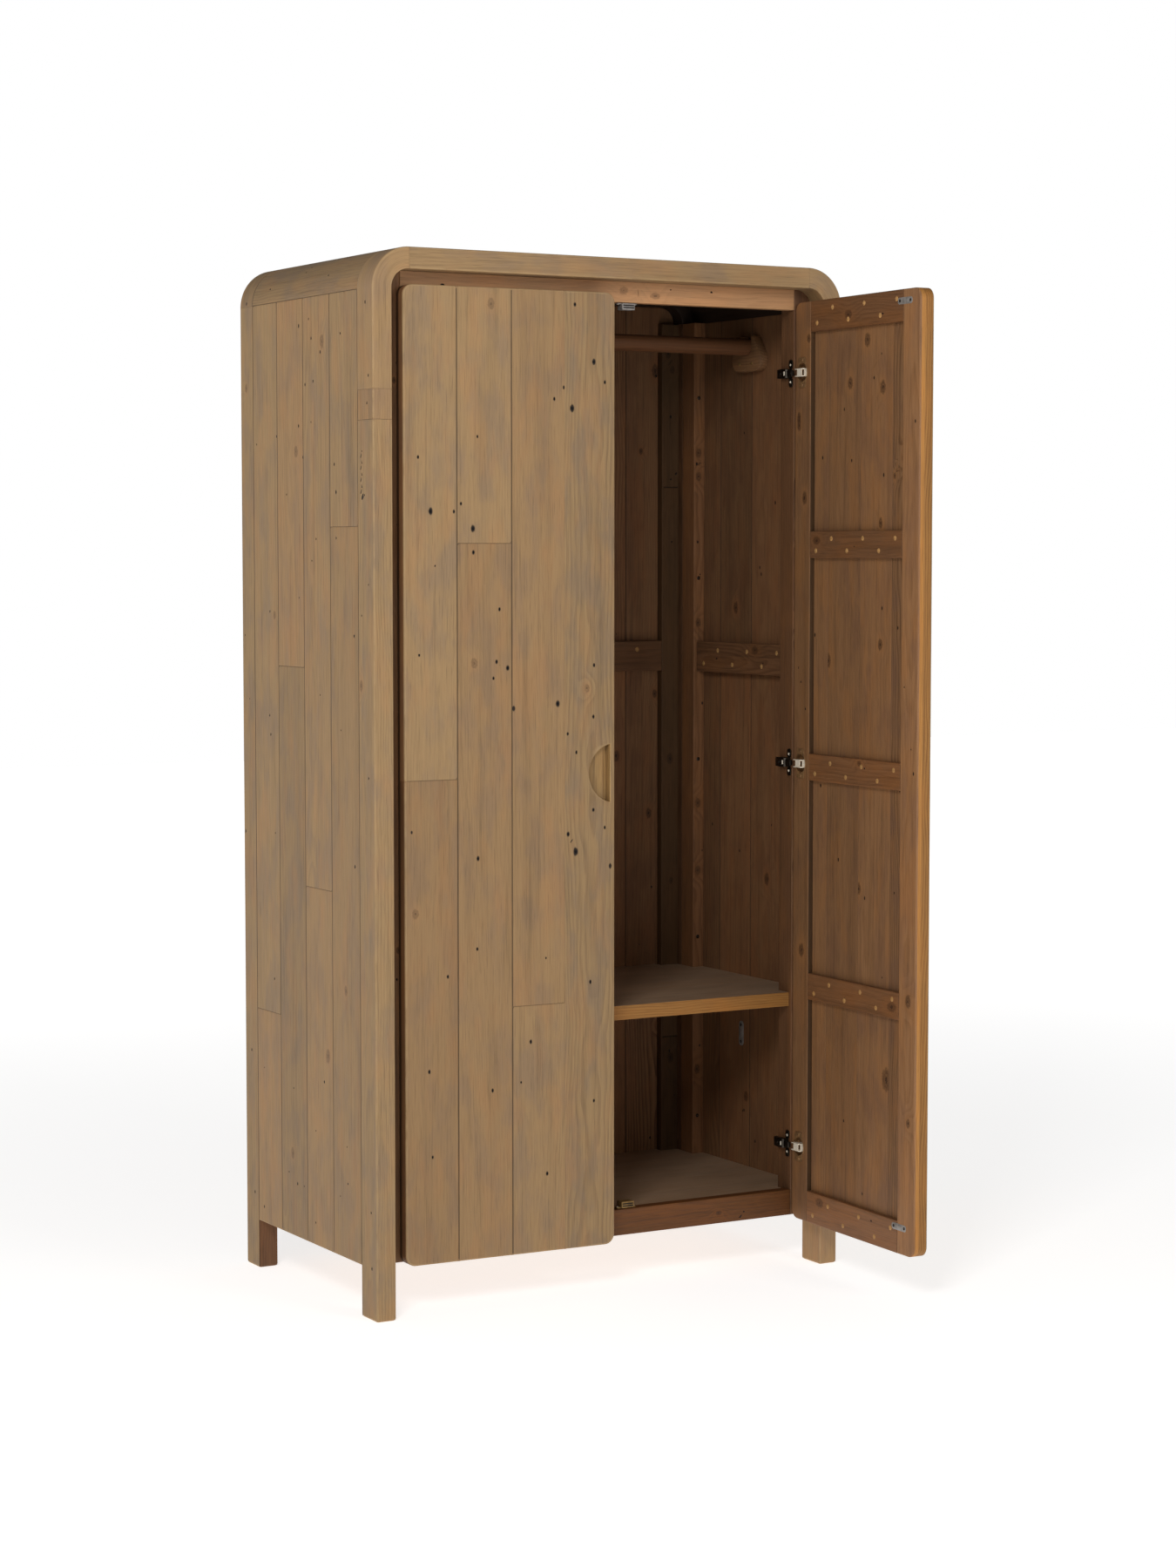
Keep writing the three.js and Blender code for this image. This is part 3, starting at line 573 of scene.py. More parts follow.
    def build_rounding(self, edges, front):
        radii, thickness = self.rim_radii(edges), self.size[2]
        loops = []
        for degrees in ROUNDING:
            turn = math.radians(degrees)
            p, q = self.level(1 - math.sin(turn), edges)
            sunk = radii[:, 0] * (1 - math.cos(turn))
            w = sunk if front else thickness - sunk
            loops.append(self.add_points(p[self.rim], q[self.rim], w, radii[:, 1]))
        return loops

    def build_wall_strips(self):
        """Two loops that keep the worn strip narrow on the side of a thick board."""
        thickness = self.size[2]
        if thickness < THICK:
            return []
        front, back = self.rim_radii(self.edges), self.rim_radii(self.back_edges)
        p, q = (grid[self.rim] for grid in self.level(0.0, self.edges))
        still = np.zeros(len(p))
        near = self.add_points(p, q, front[:, 0] + MARGIN, still)
        far = self.add_points(p, q, thickness - back[:, 0] - MARGIN, still)
        return [(near, SIDES), (far, SIDES)]

    def join_loops(self, above, below, kind, inwards=False):
        """A band of faces between two loops, round the board or down into a hole."""
        for k in range(len(above)):
            m = (k + 1) % len(above)
            band = (above[k], above[m], below[m], below[k])
            self.face(band if inwards else (band[1], band[0], band[3], band[2]), kind)

    def nearest(self, spots, p, q, stretch):
        """Each vertex's place from its nearest spot, in spot radii, and 1 if it is close."""
        out = np.zeros((len(p), 3), np.float32)
        best = np.full(len(p), np.inf)
        for centre_p, centre_q, radius in spots:
            a, b = (p - centre_p) / radius, (q - centre_q) / (radius * stretch)
            far = np.hypot(a, b)
            mine = far < best
            best = np.where(mine, far, best)
            reach = (far < SPOT_REACH).astype(np.float32)
            out[mine] = np.stack([a, b, reach], 1)[mine]
        return out

    def finish(self):
        rng = self.rng
        width = self.size[0]
        local = np.concatenate(self.points)
        p, q, w = local.T
        placed = self.place(p, q, w)
        pocket_look = self.pockets[0].look if self.pockets else "pit"
        mesh = bpy.data.meshes.new(self.name)
        a, b, c = (placed[[f[k] for f in self.faces]] for k in (0, 1, 2))
        d = placed[[f[-1] for f in self.faces]]
        volume = np.einsum("ij,ij->i", a, np.cross(b, c)).sum()
        volume += np.einsum("ij,ij->i", a, np.cross(c, d)).sum()
        faces = self.faces if volume > 0 else [f[::-1] for f in self.faces]
        mesh.from_pydata(placed.tolist(), [], faces)
        for look in (*self.looks, "pit", pocket_look):
            mesh.materials.append(LOOKS[look])
        mesh.polygons.foreach_set("material_index", self.kinds)
        pith_p = rng.uniform(-0.2, 1.2) * width
        pith_w = rng.uniform(10, 70) * MM
        slope = rng.uniform(-12, 12) * MM
        log = np.stack([q + rng.uniform(0, 40), p - pith_p + slope * q,
                        w + pith_w + slope * q], 1)
        tone = np.array([rng.random() + self.tone, rng.random(), self.figure])
        self.store(mesh, "log", log)
        self.store(mesh, "tone", np.tile(tone, (len(local), 1)))
        self.store(mesh, "knot", self.nearest(self.knots, p, q, 1.5))
        self.store(mesh, "hole", self.nearest(self.holes, p, q, 1.6))
        edge = mesh.attributes.new("edge", "FLOAT", "POINT")
        edge.data.foreach_set("value", np.array(self.edge_values, np.float32))
        self.object = shown(mesh, SHARP)

    @staticmethod
    def store(mesh, name, values):
        layer = mesh.attributes.new(name, "FLOAT_VECTOR", "POINT")
        layer.data.foreach_set("vector", np.ascontiguousarray(values, np.float32).ravel())


def shown(mesh, sharp):
    """The mesh as a smooth-shaded object of the scene, with the name of the mesh."""
    mesh.shade_smooth()
    mesh.set_sharp_from_angle(angle=sharp)
    return linked(mesh.name, mesh)


def linked(name, data):
    made = bpy.data.objects.new(name, data)
    bpy.context.scene.collection.objects.link(made)
    return made


class Bore:
    """A round flat-bottomed hole in the face of a board."""

    # Its walls and floor are pit black: painted shade round the hinge cups
    look = "pit"

    def __init__(self, centre_p, centre_q, radius, depth):
        turn = np.linspace(0, 2 * math.pi, 32, endpoint=False)
        self.rings = []
        for r, w in ((radius, 0.0), (radius, depth)):
            p, q = centre_p + r * np.cos(turn), centre_q + r * np.sin(turn)
            self.rings.append((p, q, np.full(32, w)))
        self.states = (0.0, 0.0)

    def floor(self, board, ring):
        board.face(ring, POCKET)


class HalfMoon:
    """The pull: a half-moon scooped out beside the door's free edge. Its floor drops into a
    finger groove along the straight side."""

    look = "pull"
    RADIUS = 57 * MM
    GROOVE_WIDTH = 10.5 * MM
    STEP_WIDTH = 1.2 * MM
    FLOOR_DEPTH = 9.5 * MM
    GROOVE_DEPTH = 15 * MM
    CHORD_STEPS = 22

    def __init__(self, centre_p, centre_q, straight_p):
        self.centre_p, self.centre_q, self.straight_p = centre_p, centre_q, straight_p
        levels = ((0.9, 0.0), (0.35, 0.25), (0.0, 0.9), (-0.3, 5.0), (-0.7, 0.0))
        self.rings = []
        for spread, depth in levels:
            p, q = self.outline(spread * MM)
            last = depth == 0.0 and spread < 0
            w = self.depth(p) if last else np.full(len(p), depth * MM)
            self.rings.append((p, q, w))
        on_chord = np.abs(self.rings[0][0] - self.rings[0][0].max()) < 1 * MM
        # The states mark each ring for the wood's edge masks: a light rim round the mouth and
        # down the chord, partly wear and partly painted highlight, and dark rings down the arc
        # wall and in the groove, partly dirt and partly painted shade
        self.states = [np.where(on_chord, chord, around)
                       for chord, around in ((1.0, 0.9), (1.0, -0.8), (0.6, -1.0), (0.2, -0.9),
                                             (-0.8, -0.6))]

    def turns(self, radius, straight):
        groove = self.straight_p - self.GROOVE_WIDTH
        angle = [math.acos((self.centre_p - p) / radius)
                 for p in (groove, groove + self.STEP_WIDTH, straight)]
        return np.concatenate([np.linspace(0, angle[0], 13), np.linspace(*angle[1:], 3)])

    def outline(self, spread):
        radius, straight = self.RADIUS + spread, self.straight_p + spread
        turn = self.turns(radius, straight)
        arc_p = self.centre_p - radius * np.cos(turn)
        half = radius * np.sin(turn)
        chord = np.linspace(-half[-1], half[-1], self.CHORD_STEPS + 1)[1:-1]
        p = np.concatenate([arc_p, np.full(len(chord), arc_p[-1]), arc_p[:0:-1]])
        q = self.centre_q + np.concatenate([-half, chord, half[:0:-1]])
        return p, q

    def depth(self, p):
        groove = self.straight_p - self.GROOVE_WIDTH
        share = np.clip((p - groove) / self.STEP_WIDTH, 0, 1)
        return self.FLOOR_DEPTH + share * (self.GROOVE_DEPTH - self.FLOOR_DEPTH)

    def floor(self, board, ring):
        """Rows of faces from chord to chord, and a fan at the tip."""
        ring = [int(r) for r in ring]
        places = {r: board.points[-1][k] for k, r in enumerate(ring)}
        rows = len(self.turns(self.RADIUS - 0.7 * MM, self.straight_p - 0.7 * MM))
        previous = [ring[0]]
        for k in range(1, rows):
            low, high = ring[k], ring[-k]
            if k == rows - 1:
                row = ring[k:len(ring) - k + 1]
            else:
                p, q_low, q_high = places[low][0], places[low][1], places[high][1]
                q = np.linspace(q_low, q_high, self.CHORD_STEPS + 1)[1:-1]
                p = np.full(len(q), p)
                inner = board.add_points(p, q, self.depth(p), np.zeros(len(q)))
                row = [low, *[int(v) for v in inner], high]
            for m in range(len(row) - 1):
                before = previous if len(previous) == 1 else previous[m:m + 2]
                board.face((before[0], row[m], row[m + 1], *before[1:]), POCKET)
            previous = row


def put(piece, body, node=None):
    """The piece rides on a body and may stand for a CAD node."""
    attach(piece, body)
    if node:
        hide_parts(node)


def lay(name, size, place, slot, node=None, *, body="case", **options):
    """One board in its place, which rides on the case unless another body is named."""
    board = Board(name, size, place, **options).object
    put(board, body, node)
    return board


def fill(name, low, high, axes, slot, node=None, **options):
    """A flat board that fills a box. Its axes point across it, along it and into it."""
    axes = np.array(axes, float)
    corner = np.where(axes.sum(0) > 0, low, high)
    size = np.abs(axes) @ (np.array(high) - low)
    return lay(name, tuple(size), straight(corner, *axes), slot, node, **options)


def recolour(piece, material, beyond=-1.0):
    """Another of its materials for the faces that look forwards, further out than a given X."""
    for face in piece.data.polygons:
        if face.normal.y < -0.5 and abs(face.center.x) > beyond:
            face.material_index = material


def straight(origin, p_axis, q_axis, w_axis):
    """A place function for a flat board, from its corner and its three directions."""
    base, axes = np.array(origin), np.array([p_axis, q_axis, w_axis], float)

    def place(p, q, w):
        return base + np.stack([p, q, w], 1) @ axes

    return place


X, Y, Z, DOWN = (1, 0, 0), (0, 1, 0), (0, 0, 1), (0, 0, -1)


# ---- Small pieces ---------------------------------------------------------------


class Piece:
    """A mesh made of several closed parts, such as the screws of one ledge."""

    def __init__(self, name, turn=0):
        self.name, self.turn = name, turn
        self.points, self.faces, self.kinds, self.looks = [], [], [], []
        self.count = 0

    def add(self, part, look, place):
        points, faces = part
        placed = place(*np.array(points, float).T)
        volume = sum(float(np.dot(placed[f[0]], np.cross(placed[f[k]], placed[f[k + 1]])))
                     for f in faces for k in range(1, len(f) - 1))
        if look not in self.looks:
            self.looks.append(look)
        for f in faces:
            corners = [int(v) + self.count for v in f]
            self.faces.append(corners if volume > 0 else corners[::-1])
            self.kinds.append(self.looks.index(look))
        self.points.append(placed)
        self.count += len(placed)

    def finish(self, angle=35):
        mesh = bpy.data.meshes.new(self.name)
        points = np.concatenate(self.points)
        mesh.from_pydata(points.tolist(), [], self.faces)
        for look in self.looks:
            mesh.materials.append(LOOKS[look])
        mesh.polygons.foreach_set("material_index", self.kinds)
        rng = random.Random(zlib.crc32(self.name.encode()))
        log = np.roll(points, self.turn, axis=1) + [rng.uniform(0, 40), 0.02, 0.05]
        Board.store(mesh, "log", log)
        tone = np.array([rng.random(), rng.random(), 0.6])
        Board.store(mesh, "tone", np.tile(tone, (len(points), 1)))
        return shown(mesh, math.radians(angle))


def loops_to_faces(count, size, ends="flat"):
    """Faces between count loops of size points each. The two ends are flat, open or joined."""
    faces = []
    for n in range(count if ends == "joined" else count - 1):
        here, following = n * size, (n + 1) % count * size
        for k in range(size):
            m = (k + 1) % size
            faces.append((here + k, here + m, following + m, following + k))
    if ends == "flat":
        faces.append(tuple(range(size))[::-1])
        faces.append(tuple((count - 1) * size + k for k in range(size)))
    return faces


def turned(profile, sides=24, ends="flat"):
    """A solid of revolution about w, from (radius, w) pairs. Unless its ends are joined into a
    ring, the pairs start and end near the axis."""
    turn = np.linspace(0, 2 * math.pi, sides, endpoint=False)
    points = [(r * math.cos(t), r * math.sin(t), w) for r, w in profile for t in turn]
    return points, loops_to_faces(len(profile), sides, ends)


def in_mm(pairs):
    """Pairs of lengths given in mm, in metres."""
    return [(a * MM, b * MM) for a, b in pairs]


def shifted_outline(outline, inset):
    """A closed outline with every side moved inwards."""
    points = np.array(outline, float)
    before, after = np.roll(points, 1, axis=0), np.roll(points, -1, axis=0)
    into, out = points - before, after - points
    into /= np.linalg.norm(into, axis=1)[:, None]
    out /= np.linalg.norm(out, axis=1)[:, None]
    area = np.sum(points[:, 0] * after[:, 1] - after[:, 0] * points[:, 1])
    hand = 1 if area > 0 else -1
    normal_in = np.stack([-into[:, 1], into[:, 0]], 1) * hand
    normal_out = np.stack([-out[:, 1], out[:, 0]], 1) * hand
    middle = normal_in + normal_out
    middle /= (middle * normal_in).sum(1)[:, None]
    return points + middle * inset


def plate(outline, thickness, ease):
    """A flat plate with eased edges, cut to an outline in p and q."""
    levels = [(ease * (1 - math.sin(math.radians(d))), ease * (1 - math.cos(math.radians(d))))
              for d in (0, 45, 90)]
    rings = [(shifted_outline(outline, inset), depth) for inset, depth in levels]
    rings += [(shifted_outline(outline, inset), thickness - depth)
              for inset, depth in levels[::-1]]
    points = [(p, q, w) for ring, w in rings for p, q in ring]
    return points, loops_to_faces(len(rings), len(outline))


def arc(centre, radius, start, end, steps):
    """Points along an arc, with the angles in degrees."""
    turn = [math.radians(start + (end - start) * k / steps) for k in range(steps + 1)]
    return [(centre[0] + radius * math.cos(t), centre[1] + radius * math.sin(t)) for t in turn]


def rounded_outline(width, length, radius, steps=4):
    """A rectangle about the origin with round corners."""
    a, b = width / 2 - radius, length / 2 - radius
    corners = ((a, b, 0), (-a, b, 90), (-a, -b, 180), (a, -b, 270))
    return [point for p, q, turn in corners
            for point in arc((p, q), radius, turn, turn + 90, steps)]


def screw(radius):
    """A domed screw head with a cross recess, seen from -w."""
    star = [(radius * (0.52 if k % 2 else 0.2), math.radians(45 * k + 22.5)) for k in range(8)]
    dome = [(radius * r, radius * w)
            for r, w in ((0.96, 0.3), (1.0, 0.05), (0.9, -0.12), (0.66, -0.24))]
    points, faces = turned(dome, 16, "open")
    faces.append(tuple(range(16))[::-1])
    top = 3 * 16
    mouth, bottom = len(points), len(points) + 8
    points += [(r * math.cos(t), r * math.sin(t), -0.27 * radius) for r, t in star]
    points += [(r * 0.7 * math.cos(t), r * 0.7 * math.sin(t), 0.1 * radius) for r, t in star]
    for k in range(8):
        m = (k + 1) % 8
        a, b = top + (2 * k + 1) % 16, top + (2 * k + 2) % 16
        c = top + (2 * k + 3) % 16
        faces.append((a, b, mouth + k))
        faces.append((b, c, mouth + m, mouth + k))
        faces.append((mouth + k, mouth + m, bottom + m, bottom + k))
    faces.append(tuple(bottom + k for k in range(8)))
    return points, faces


def plug(radius):
    """A wooden plug, domed a little over the hole that it fills."""
    return turned([(radius, 1.5 * MM), (radius, -0.1 * MM), (radius * 0.9, -0.45 * MM),
                   (radius * 0.5, -0.65 * MM), (radius * 0.05, -0.7 * MM)])


# ---- Outer frame ----------------------------------------------------------------

OPEN = 2.2 * MM  # eased edge of the outer frame
INNER = 1 * MM  # eased edge that shows inside the case only
EASED = 1.5 * MM  # eased edge of the face frame and the battens
SEAM = -0.7 * MM  # open joint between two boards
BUTT = -0.5 * MM  # joint across the end of a board
TIGHT = -0.15 * MM  # glued joint
FLUSH = -0.03 * MM  # joint that was planed and stained over
GAP = 0.5 * MM  # left open between the blocks of the frame
FOOT = 4.5 * MM  # rounding under a foot
LEG_BLOCK = 56 * MM  # the short block between each front leg and its bent corner


def span(node):
    low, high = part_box(node)
    return np.array(low), np.array(high)


def outward(side, low, high):
    """The outer and inner X of a box on one side of the case."""
    return (high[0], low[0]) if side == RIGHT else (low[0], high[0])


def bent(side, outer_x, start_z, centre_z, radius, y):
    """A place function for a board that goes up a side, round the corner and over the top.
    q runs along the outer face and p along Y."""
    straight_up = centre_z - start_z
    quarter = radius * math.pi / 2
    centre_x = outer_x - side * radius

    def place(p, q, w):
        turn = np.clip((q - straight_up) / radius, 0, math.pi / 2)
        over = np.maximum(q - straight_up - quarter, 0)
        reach = radius - w
        x = centre_x + side * (reach * np.cos(turn) - over)
        z = np.where(q < straight_up, start_z + q, centre_z + reach * np.sin(turn))
        return np.stack([x, y + p, z], 1)

    return place


def build_front_frame(side):
    name = SIDE_NAMES[side]
    low, high = span(f"front_post_{name}")
    outer = outward(side, low, high)[0]
    leg = high[2] - LEG_BLOCK
    marks = []
    if side == LEFT:  # a short row of saw marks near the top of the leg
        marks = [((47 + 5 * (n % 2)) * MM, leg - (58 + 11 * n) * MM, 1 * MM) for n in range(9)]
    for part, node, start, end, foot, options in (
            ("leg", f"front_post_{name}", 0.0, leg, FOOT,
             dict(corners=(FOOT, FOOT, 0, 0), holes=marks, extra_holes=6, extra_knots=1,
                  tone=0.5)),
            ("block", None, leg + GAP, high[2], FLUSH, dict(extra_holes=1, tone=-0.5))):
        fill(f"front_{part}_{name}", (low[0], low[1], start), (high[0], high[1], end),
             (Y, Z, (-side, 0, 0)), "weathered_pine", node, edges=(OPEN, SEAM, foot, FLUSH),
             back_edges=(OPEN, INNER, foot, FLUSH), **options)

    corner_low, corner_high = span(f"front_corner_{name}")
    radius = corner_high[0] - corner_low[0]
    centre_z = corner_high[2] - radius
    around = centre_z - corner_low[2] + radius * math.pi / 2
    lay(f"front_bend_{name}", (high[1] - low[1], around, high[0] - low[0]),
        bent(side, outer, corner_low[2], centre_z, radius, low[1]), "weathered_pine",
        f"front_corner_{name}", edges=(OPEN, TIGHT, FLUSH, FLUSH),
        back_edges=(OPEN, INNER, FLUSH, FLUSH), pitch=ROUND_THE_BEND, extra_holes=2, tone=-0.2)


def build_top_rail():
    low, high = span("front_top_rail")
    fill("front_rail", low, high, (Y, X, DOWN), "weathered_pine", "front_top_rail",
         edges=(OPEN, SEAM, TIGHT, TIGHT), back_edges=(OPEN, INNER, TIGHT, TIGHT),
         extra_holes=4, extra_knots=1, figure=0.4)


CLEAT_SCREWS = [229, 617, 999, 1385, 1766]  # heights in mm
CLEAT_KNOTS = [330, 760, 905, 1290, 1600, 1650]


def build_rear_frame():
    arch_low, arch_high = span("rear_arch")
    front, centre_z = arch_low[1], arch_low[2]
    radius = arch_high[2] - centre_z
    for side, name in SIDE_NAMES.items():
        low, high = span(f"rear_post_{name}")
        outer, tongue = outward(side, low, high)
        post_low, post_high = span(f"front_post_{name}")
        thickness = post_high[0] - post_low[0]
        leg = lay(
            f"rear_leg_{name}", (high[1] - front, high[2] - low[2], thickness),
            straight((outer, front, low[2]), Y, Z, (-side, 0, 0)), "weathered_pine",
            f"rear_post_{name}", edges=(SEAM, OPEN, FOOT, FLUSH),
            back_edges=(INNER, OPEN, FOOT, FLUSH), corners=(FOOT, FOOT, 0, 0), extra_holes=5,
            extra_knots=1, looks=("weathered", "weathered", "batten"))
        panel_low, panel_high = span(f"side_panel_{name}")
        side_x = outward(side, panel_low, panel_high)[1]
        floor_z = panel_low[2]
        place = straight((tongue, low[1], floor_z), (side, 0, 0), Z, Y)
        width = abs(side_x - tongue) - GAP
        lay(f"rear_cleat_{name}", (width, high[2] - floor_z, front - low[1]), place,
            "batten_pine", edges=(1.5 * MM, TIGHT, OPEN, FLUSH), looks=("batten",) * 3,
            extra_holes=6, figure=0.8, tone=1.6,
            knots=[(0.42 * width, z * MM - floor_z, 6 * MM) for z in CLEAT_KNOTS])
        screws = Piece(f"cleat_screws_{name}")
        for z in CLEAT_SCREWS:
            screws.add(screw(4.2 * MM), "dark_steel",
                       offset(place, 0.45 * width, z * MM - floor_z, 0))
        put(screws.finish(), "case")
        arch_x = outward(side, arch_low, arch_high)[0]
        bend = lay(
            f"rear_bend_{name}", (high[1] - front, radius * math.pi / 2, thickness),
            bent(side, arch_x, centre_z, centre_z, radius, front), "weathered_pine",
            "rear_arch" if side == LEFT else None, edges=(SEAM, OPEN, FLUSH, TIGHT),
            back_edges=(INNER, OPEN, FLUSH, TIGHT), pitch=ROUND_THE_BEND, extra_holes=1,
            looks=("weathered", "weathered", "deep"))
        for piece in (leg, bend):  # painted shade: their walls that face forwards take the dark look of their backs
            recolour(piece, BACK)
    low, high = span("front_top_rail")
    # Painted shade: the rail's faces inside the case, under the top, take the deep look
    recolour(lay(
        "rear_rail", (arch_high[1] - front, high[0] - low[0], high[2] - low[2]),
        straight((low[0], front, arch_high[2]), Y, X, DOWN), "weathered_pine",
        edges=(SEAM, OPEN, TIGHT, TIGHT), back_edges=(INNER, OPEN, TIGHT, TIGHT),
        extra_holes=3, extra_knots=1, looks=("weathered", "weathered", "deep")), BACK)


# ---- Sides and top ----------------------------------------------------------------

SIDE_SEAMS = [121, 240, 360]  # mm behind the front edge of the side boards
SIDE_BUTTS = {LEFT: [1487, 795, 1218, 529], RIGHT: [1216, 538, 1226, 534]}  # heights in mm
TOP_BUTTS = [-210, 130, -60, 260]


def runs(low, high, seams):
    """The stretches that seams cut a length into."""
    marks = [low, *seams, high]
    return list(zip(marks, marks[1:]))


SIDE_HOLES = [  # mm behind the side boards' front edge, height and radius
    (201, 1843, 1.5), (161, 1817, 1.6), (230, 1759, 1.3), (54, 1922, 1.4), (212, 1882, 1.2),
    (363, 1665, 1.2), (241, 1621, 1.4), (318, 1551, 1.2), (96, 1552, 1.6), (96, 1466, 1.4)]


def spots_on(spots, near, far, bottom, top, origin=0.0):
    """The spots that fall on one board, in metres from its corner."""
    moved = [(a * MM + origin - near, z * MM - bottom, r * MM) for a, z, r in spots]
    return [s for s in moved if 0 < s[0] < far - near and 0 < s[1] < top - bottom]


def build_side(side):
    name = SIDE_NAMES[side]
    node = f"side_panel_{name}"
    low, high = span(node)
    thickness = high[0] - low[0]
    for n, (front, back) in enumerate(runs(low[1], high[1], seams_of_side(low))):
        for k, (bottom, top) in enumerate(runs(low[2], high[2], [SIDE_BUTTS[side][n] * MM])):
            holes = spots_on(SIDE_HOLES, front, back, bottom, top, low[1])
            fill(f"side_board_{name}_{n + 1}_{k + 1}", (low[0], front, bottom),
                 (high[0], back, top), (Y, Z, (-side, 0, 0)), "weathered_pine",
                 node if n == k == 0 else None,
                 edges=(SEAM, SEAM, BUTT if k else 1.2 * MM, BUTT),
                 looks=("weathered", "inside", "inside"), holes=holes if side == LEFT else (),
                 extra_holes=round(4 * (top - bottom)), extra_knots=round(0.9 * (top - bottom)))

    low, high = span(f"corner_panel_{name}")
    radius = high[2] - low[2]
    outer = outward(side, low, high)[0]
    # The corner board's inner face is deep: painted shade under the top
    lay(f"corner_board_{name}", (radius * math.pi / 2, high[1] - low[1], thickness),
        across(bent(side, outer, low[2], low[2], radius, low[1])), "weathered_pine",
        f"corner_panel_{name}", edges=(BUTT, TIGHT, TIGHT, TIGHT),
        looks=("weathered", "deep", "deep"), pitch=(4.5 * MM, 16 * MM), extra_holes=5,
        extra_knots=1, tone=-0.3)


def seams_of_side(low):
    return [low[1] + mm * MM for mm in SIDE_SEAMS]


def across(place):
    """The same place function with the grain turned to run the other way."""
    return lambda p, q, w: place(q, p, w)


def build_top():
    low, high = span("top_panel")
    for n, (front, back) in enumerate(runs(low[1], high[1], seams_of_side(low))):
        for k, (left, right) in enumerate(runs(low[0], high[0], [TOP_BUTTS[n] * MM])):
            # The underside of the top is deep: painted shade
            fill(f"top_board_{n + 1}_{k + 1}", (left, front, low[2]), (right, back, high[2]),
                 (Y, X, DOWN), "weathered_pine", "top_panel" if n == k == 0 else None,
                 edges=(SEAM, SEAM, BUTT, BUTT), looks=("weathered", "deep", "deep"),
                 extra_holes=4, extra_knots=2)


# ---- Face frame and back -----------------------------------------------------------


def inner_radius(top, name):
    """The radius of the inner corner at the top of a side."""
    return top - span(f"side_panel_{name}")[1][2] - 0.3 * MM


def build_face_frame():
    for side, name in SIDE_NAMES.items():
        low, high = span(f"face_stile_{name}")
        stile = fill(f"case_stile_{name}", low, high, ((side, 0, 0), Z, Y), "facing_pine",
                     f"face_stile_{name}", edges=(EASED, TIGHT, EASED, TIGHT),
                     corners=(0, 0, inner_radius(high[2], name), 0),
                     looks=("door_back" if side == LEFT else "inside", "batten", "inside"),
                     extra_holes=5, extra_knots=3, tone=-0.4)
        # Painted shadow: the stile's front faces in the gap beside the door take the black pit
        # look. The stiles' darker looks and tone are partly the wood's colour and partly painted
        # shade.
        recolour(stile, PIT, abs(outward(side, low, high)[0]) - 5 * MM)
    for node, edge, look, tone in (("face_rail_top", (EASED, TIGHT), "facing", 0.7),
                                   ("face_rail_bottom", (1.2 * MM, 1.2 * MM), "kick", 0.2)):
        fill(node.replace("face", "case"), *span(node), (Z, X, Y), "facing_pine", node,
             edges=(*edge, BUTT, BUTT), looks=(look, look, "inside"), tone=tone,
             extra_holes=3, extra_knots=2, figure=0.6)


BACK_BUTTS = [1210, 560, 1240, 530, 1200, 540, 1225, 535]  # mm, behind the ledge or the shelf
UPRIGHTS = (("dim", 0.0), ("dim", 0.4), ("dim", 0.1))  # look and tone, from the floor up; the dim look is painted shade
UPRIGHT_BUTTS = [395 * MM, 1578 * MM]


def build_back():
    low, high = span("back_panel")
    count = len(BACK_BUTTS)
    width = (high[0] - low[0]) / count
    radius = inner_radius(high[2], "left")
    for n, butt in enumerate(BACK_BUTTS):
        for k, (bottom, top) in enumerate(runs(low[2], high[2], [butt * MM])):
            lay(f"back_board_{n + 1}_{k + 1}", (width, top - bottom, high[1] - low[1]),
                straight((low[0] + n * width, low[1], bottom), X, Z, Y), "inside_pine",
                "back_panel" if n == k == 0 else None,
                edges=(SEAM, SEAM, BUTT if k else 1 * MM, BUTT),
                corners=(0, 0, radius if k and n == count - 1 else 0,
                         radius if k and n == 0 else 0),
                looks=("inside",) * 3, pitch=MEDIUM, extra_holes=3,
                extra_knots=round(3.2 * (top - bottom)), tone=0.4)
    for side, name in SIDE_NAMES.items():
        low, high = span(f"back_stile_{name}")
        for k, (bottom, top) in enumerate(runs(low[2], high[2], UPRIGHT_BUTTS)):
            look, tone = UPRIGHTS[k]
            fill(f"back_upright_{name}_{k + 1}", (low[0], low[1], bottom),
                 (high[0], high[1], top), ((side, 0, 0), Z, Y), "inside_pine",
                 None if k else f"back_stile_{name}",
                 edges=(1.2 * MM, TIGHT, SEAM if k else 1 * MM, SEAM), looks=(look,) * 3,
                 extra_holes=3, extra_knots=2, tone=tone)


PLUG_RADIUS = 4.8 * MM
PLUG_SHARES = (0.27, 0.72)  # across a batten


def ledge(names, size, place, slot, node, count, *, body="case", **options):
    """A batten with a zigzag row of plugs. Names are those of the board and of the plugs."""
    lay(names[0], size, place, slot, node, body=body, edges=(EASED, EASED, BUTT, BUTT),
        pitch=MEDIUM, **options)
    piece = Piece(names[1], turn=2)
    for k in range(count):
        along = size[1] * (0.07 + 0.86 * k / (count - 1))
        piece.add(plug(PLUG_RADIUS), "plug",
                  offset(place, PLUG_SHARES[k % 2] * size[0], along, 0.0))
    put(piece.finish(), body)


def offset(place, p0, q0, w0):
    return lambda p, q, w: place(p + p0, q + q0, w + w0)


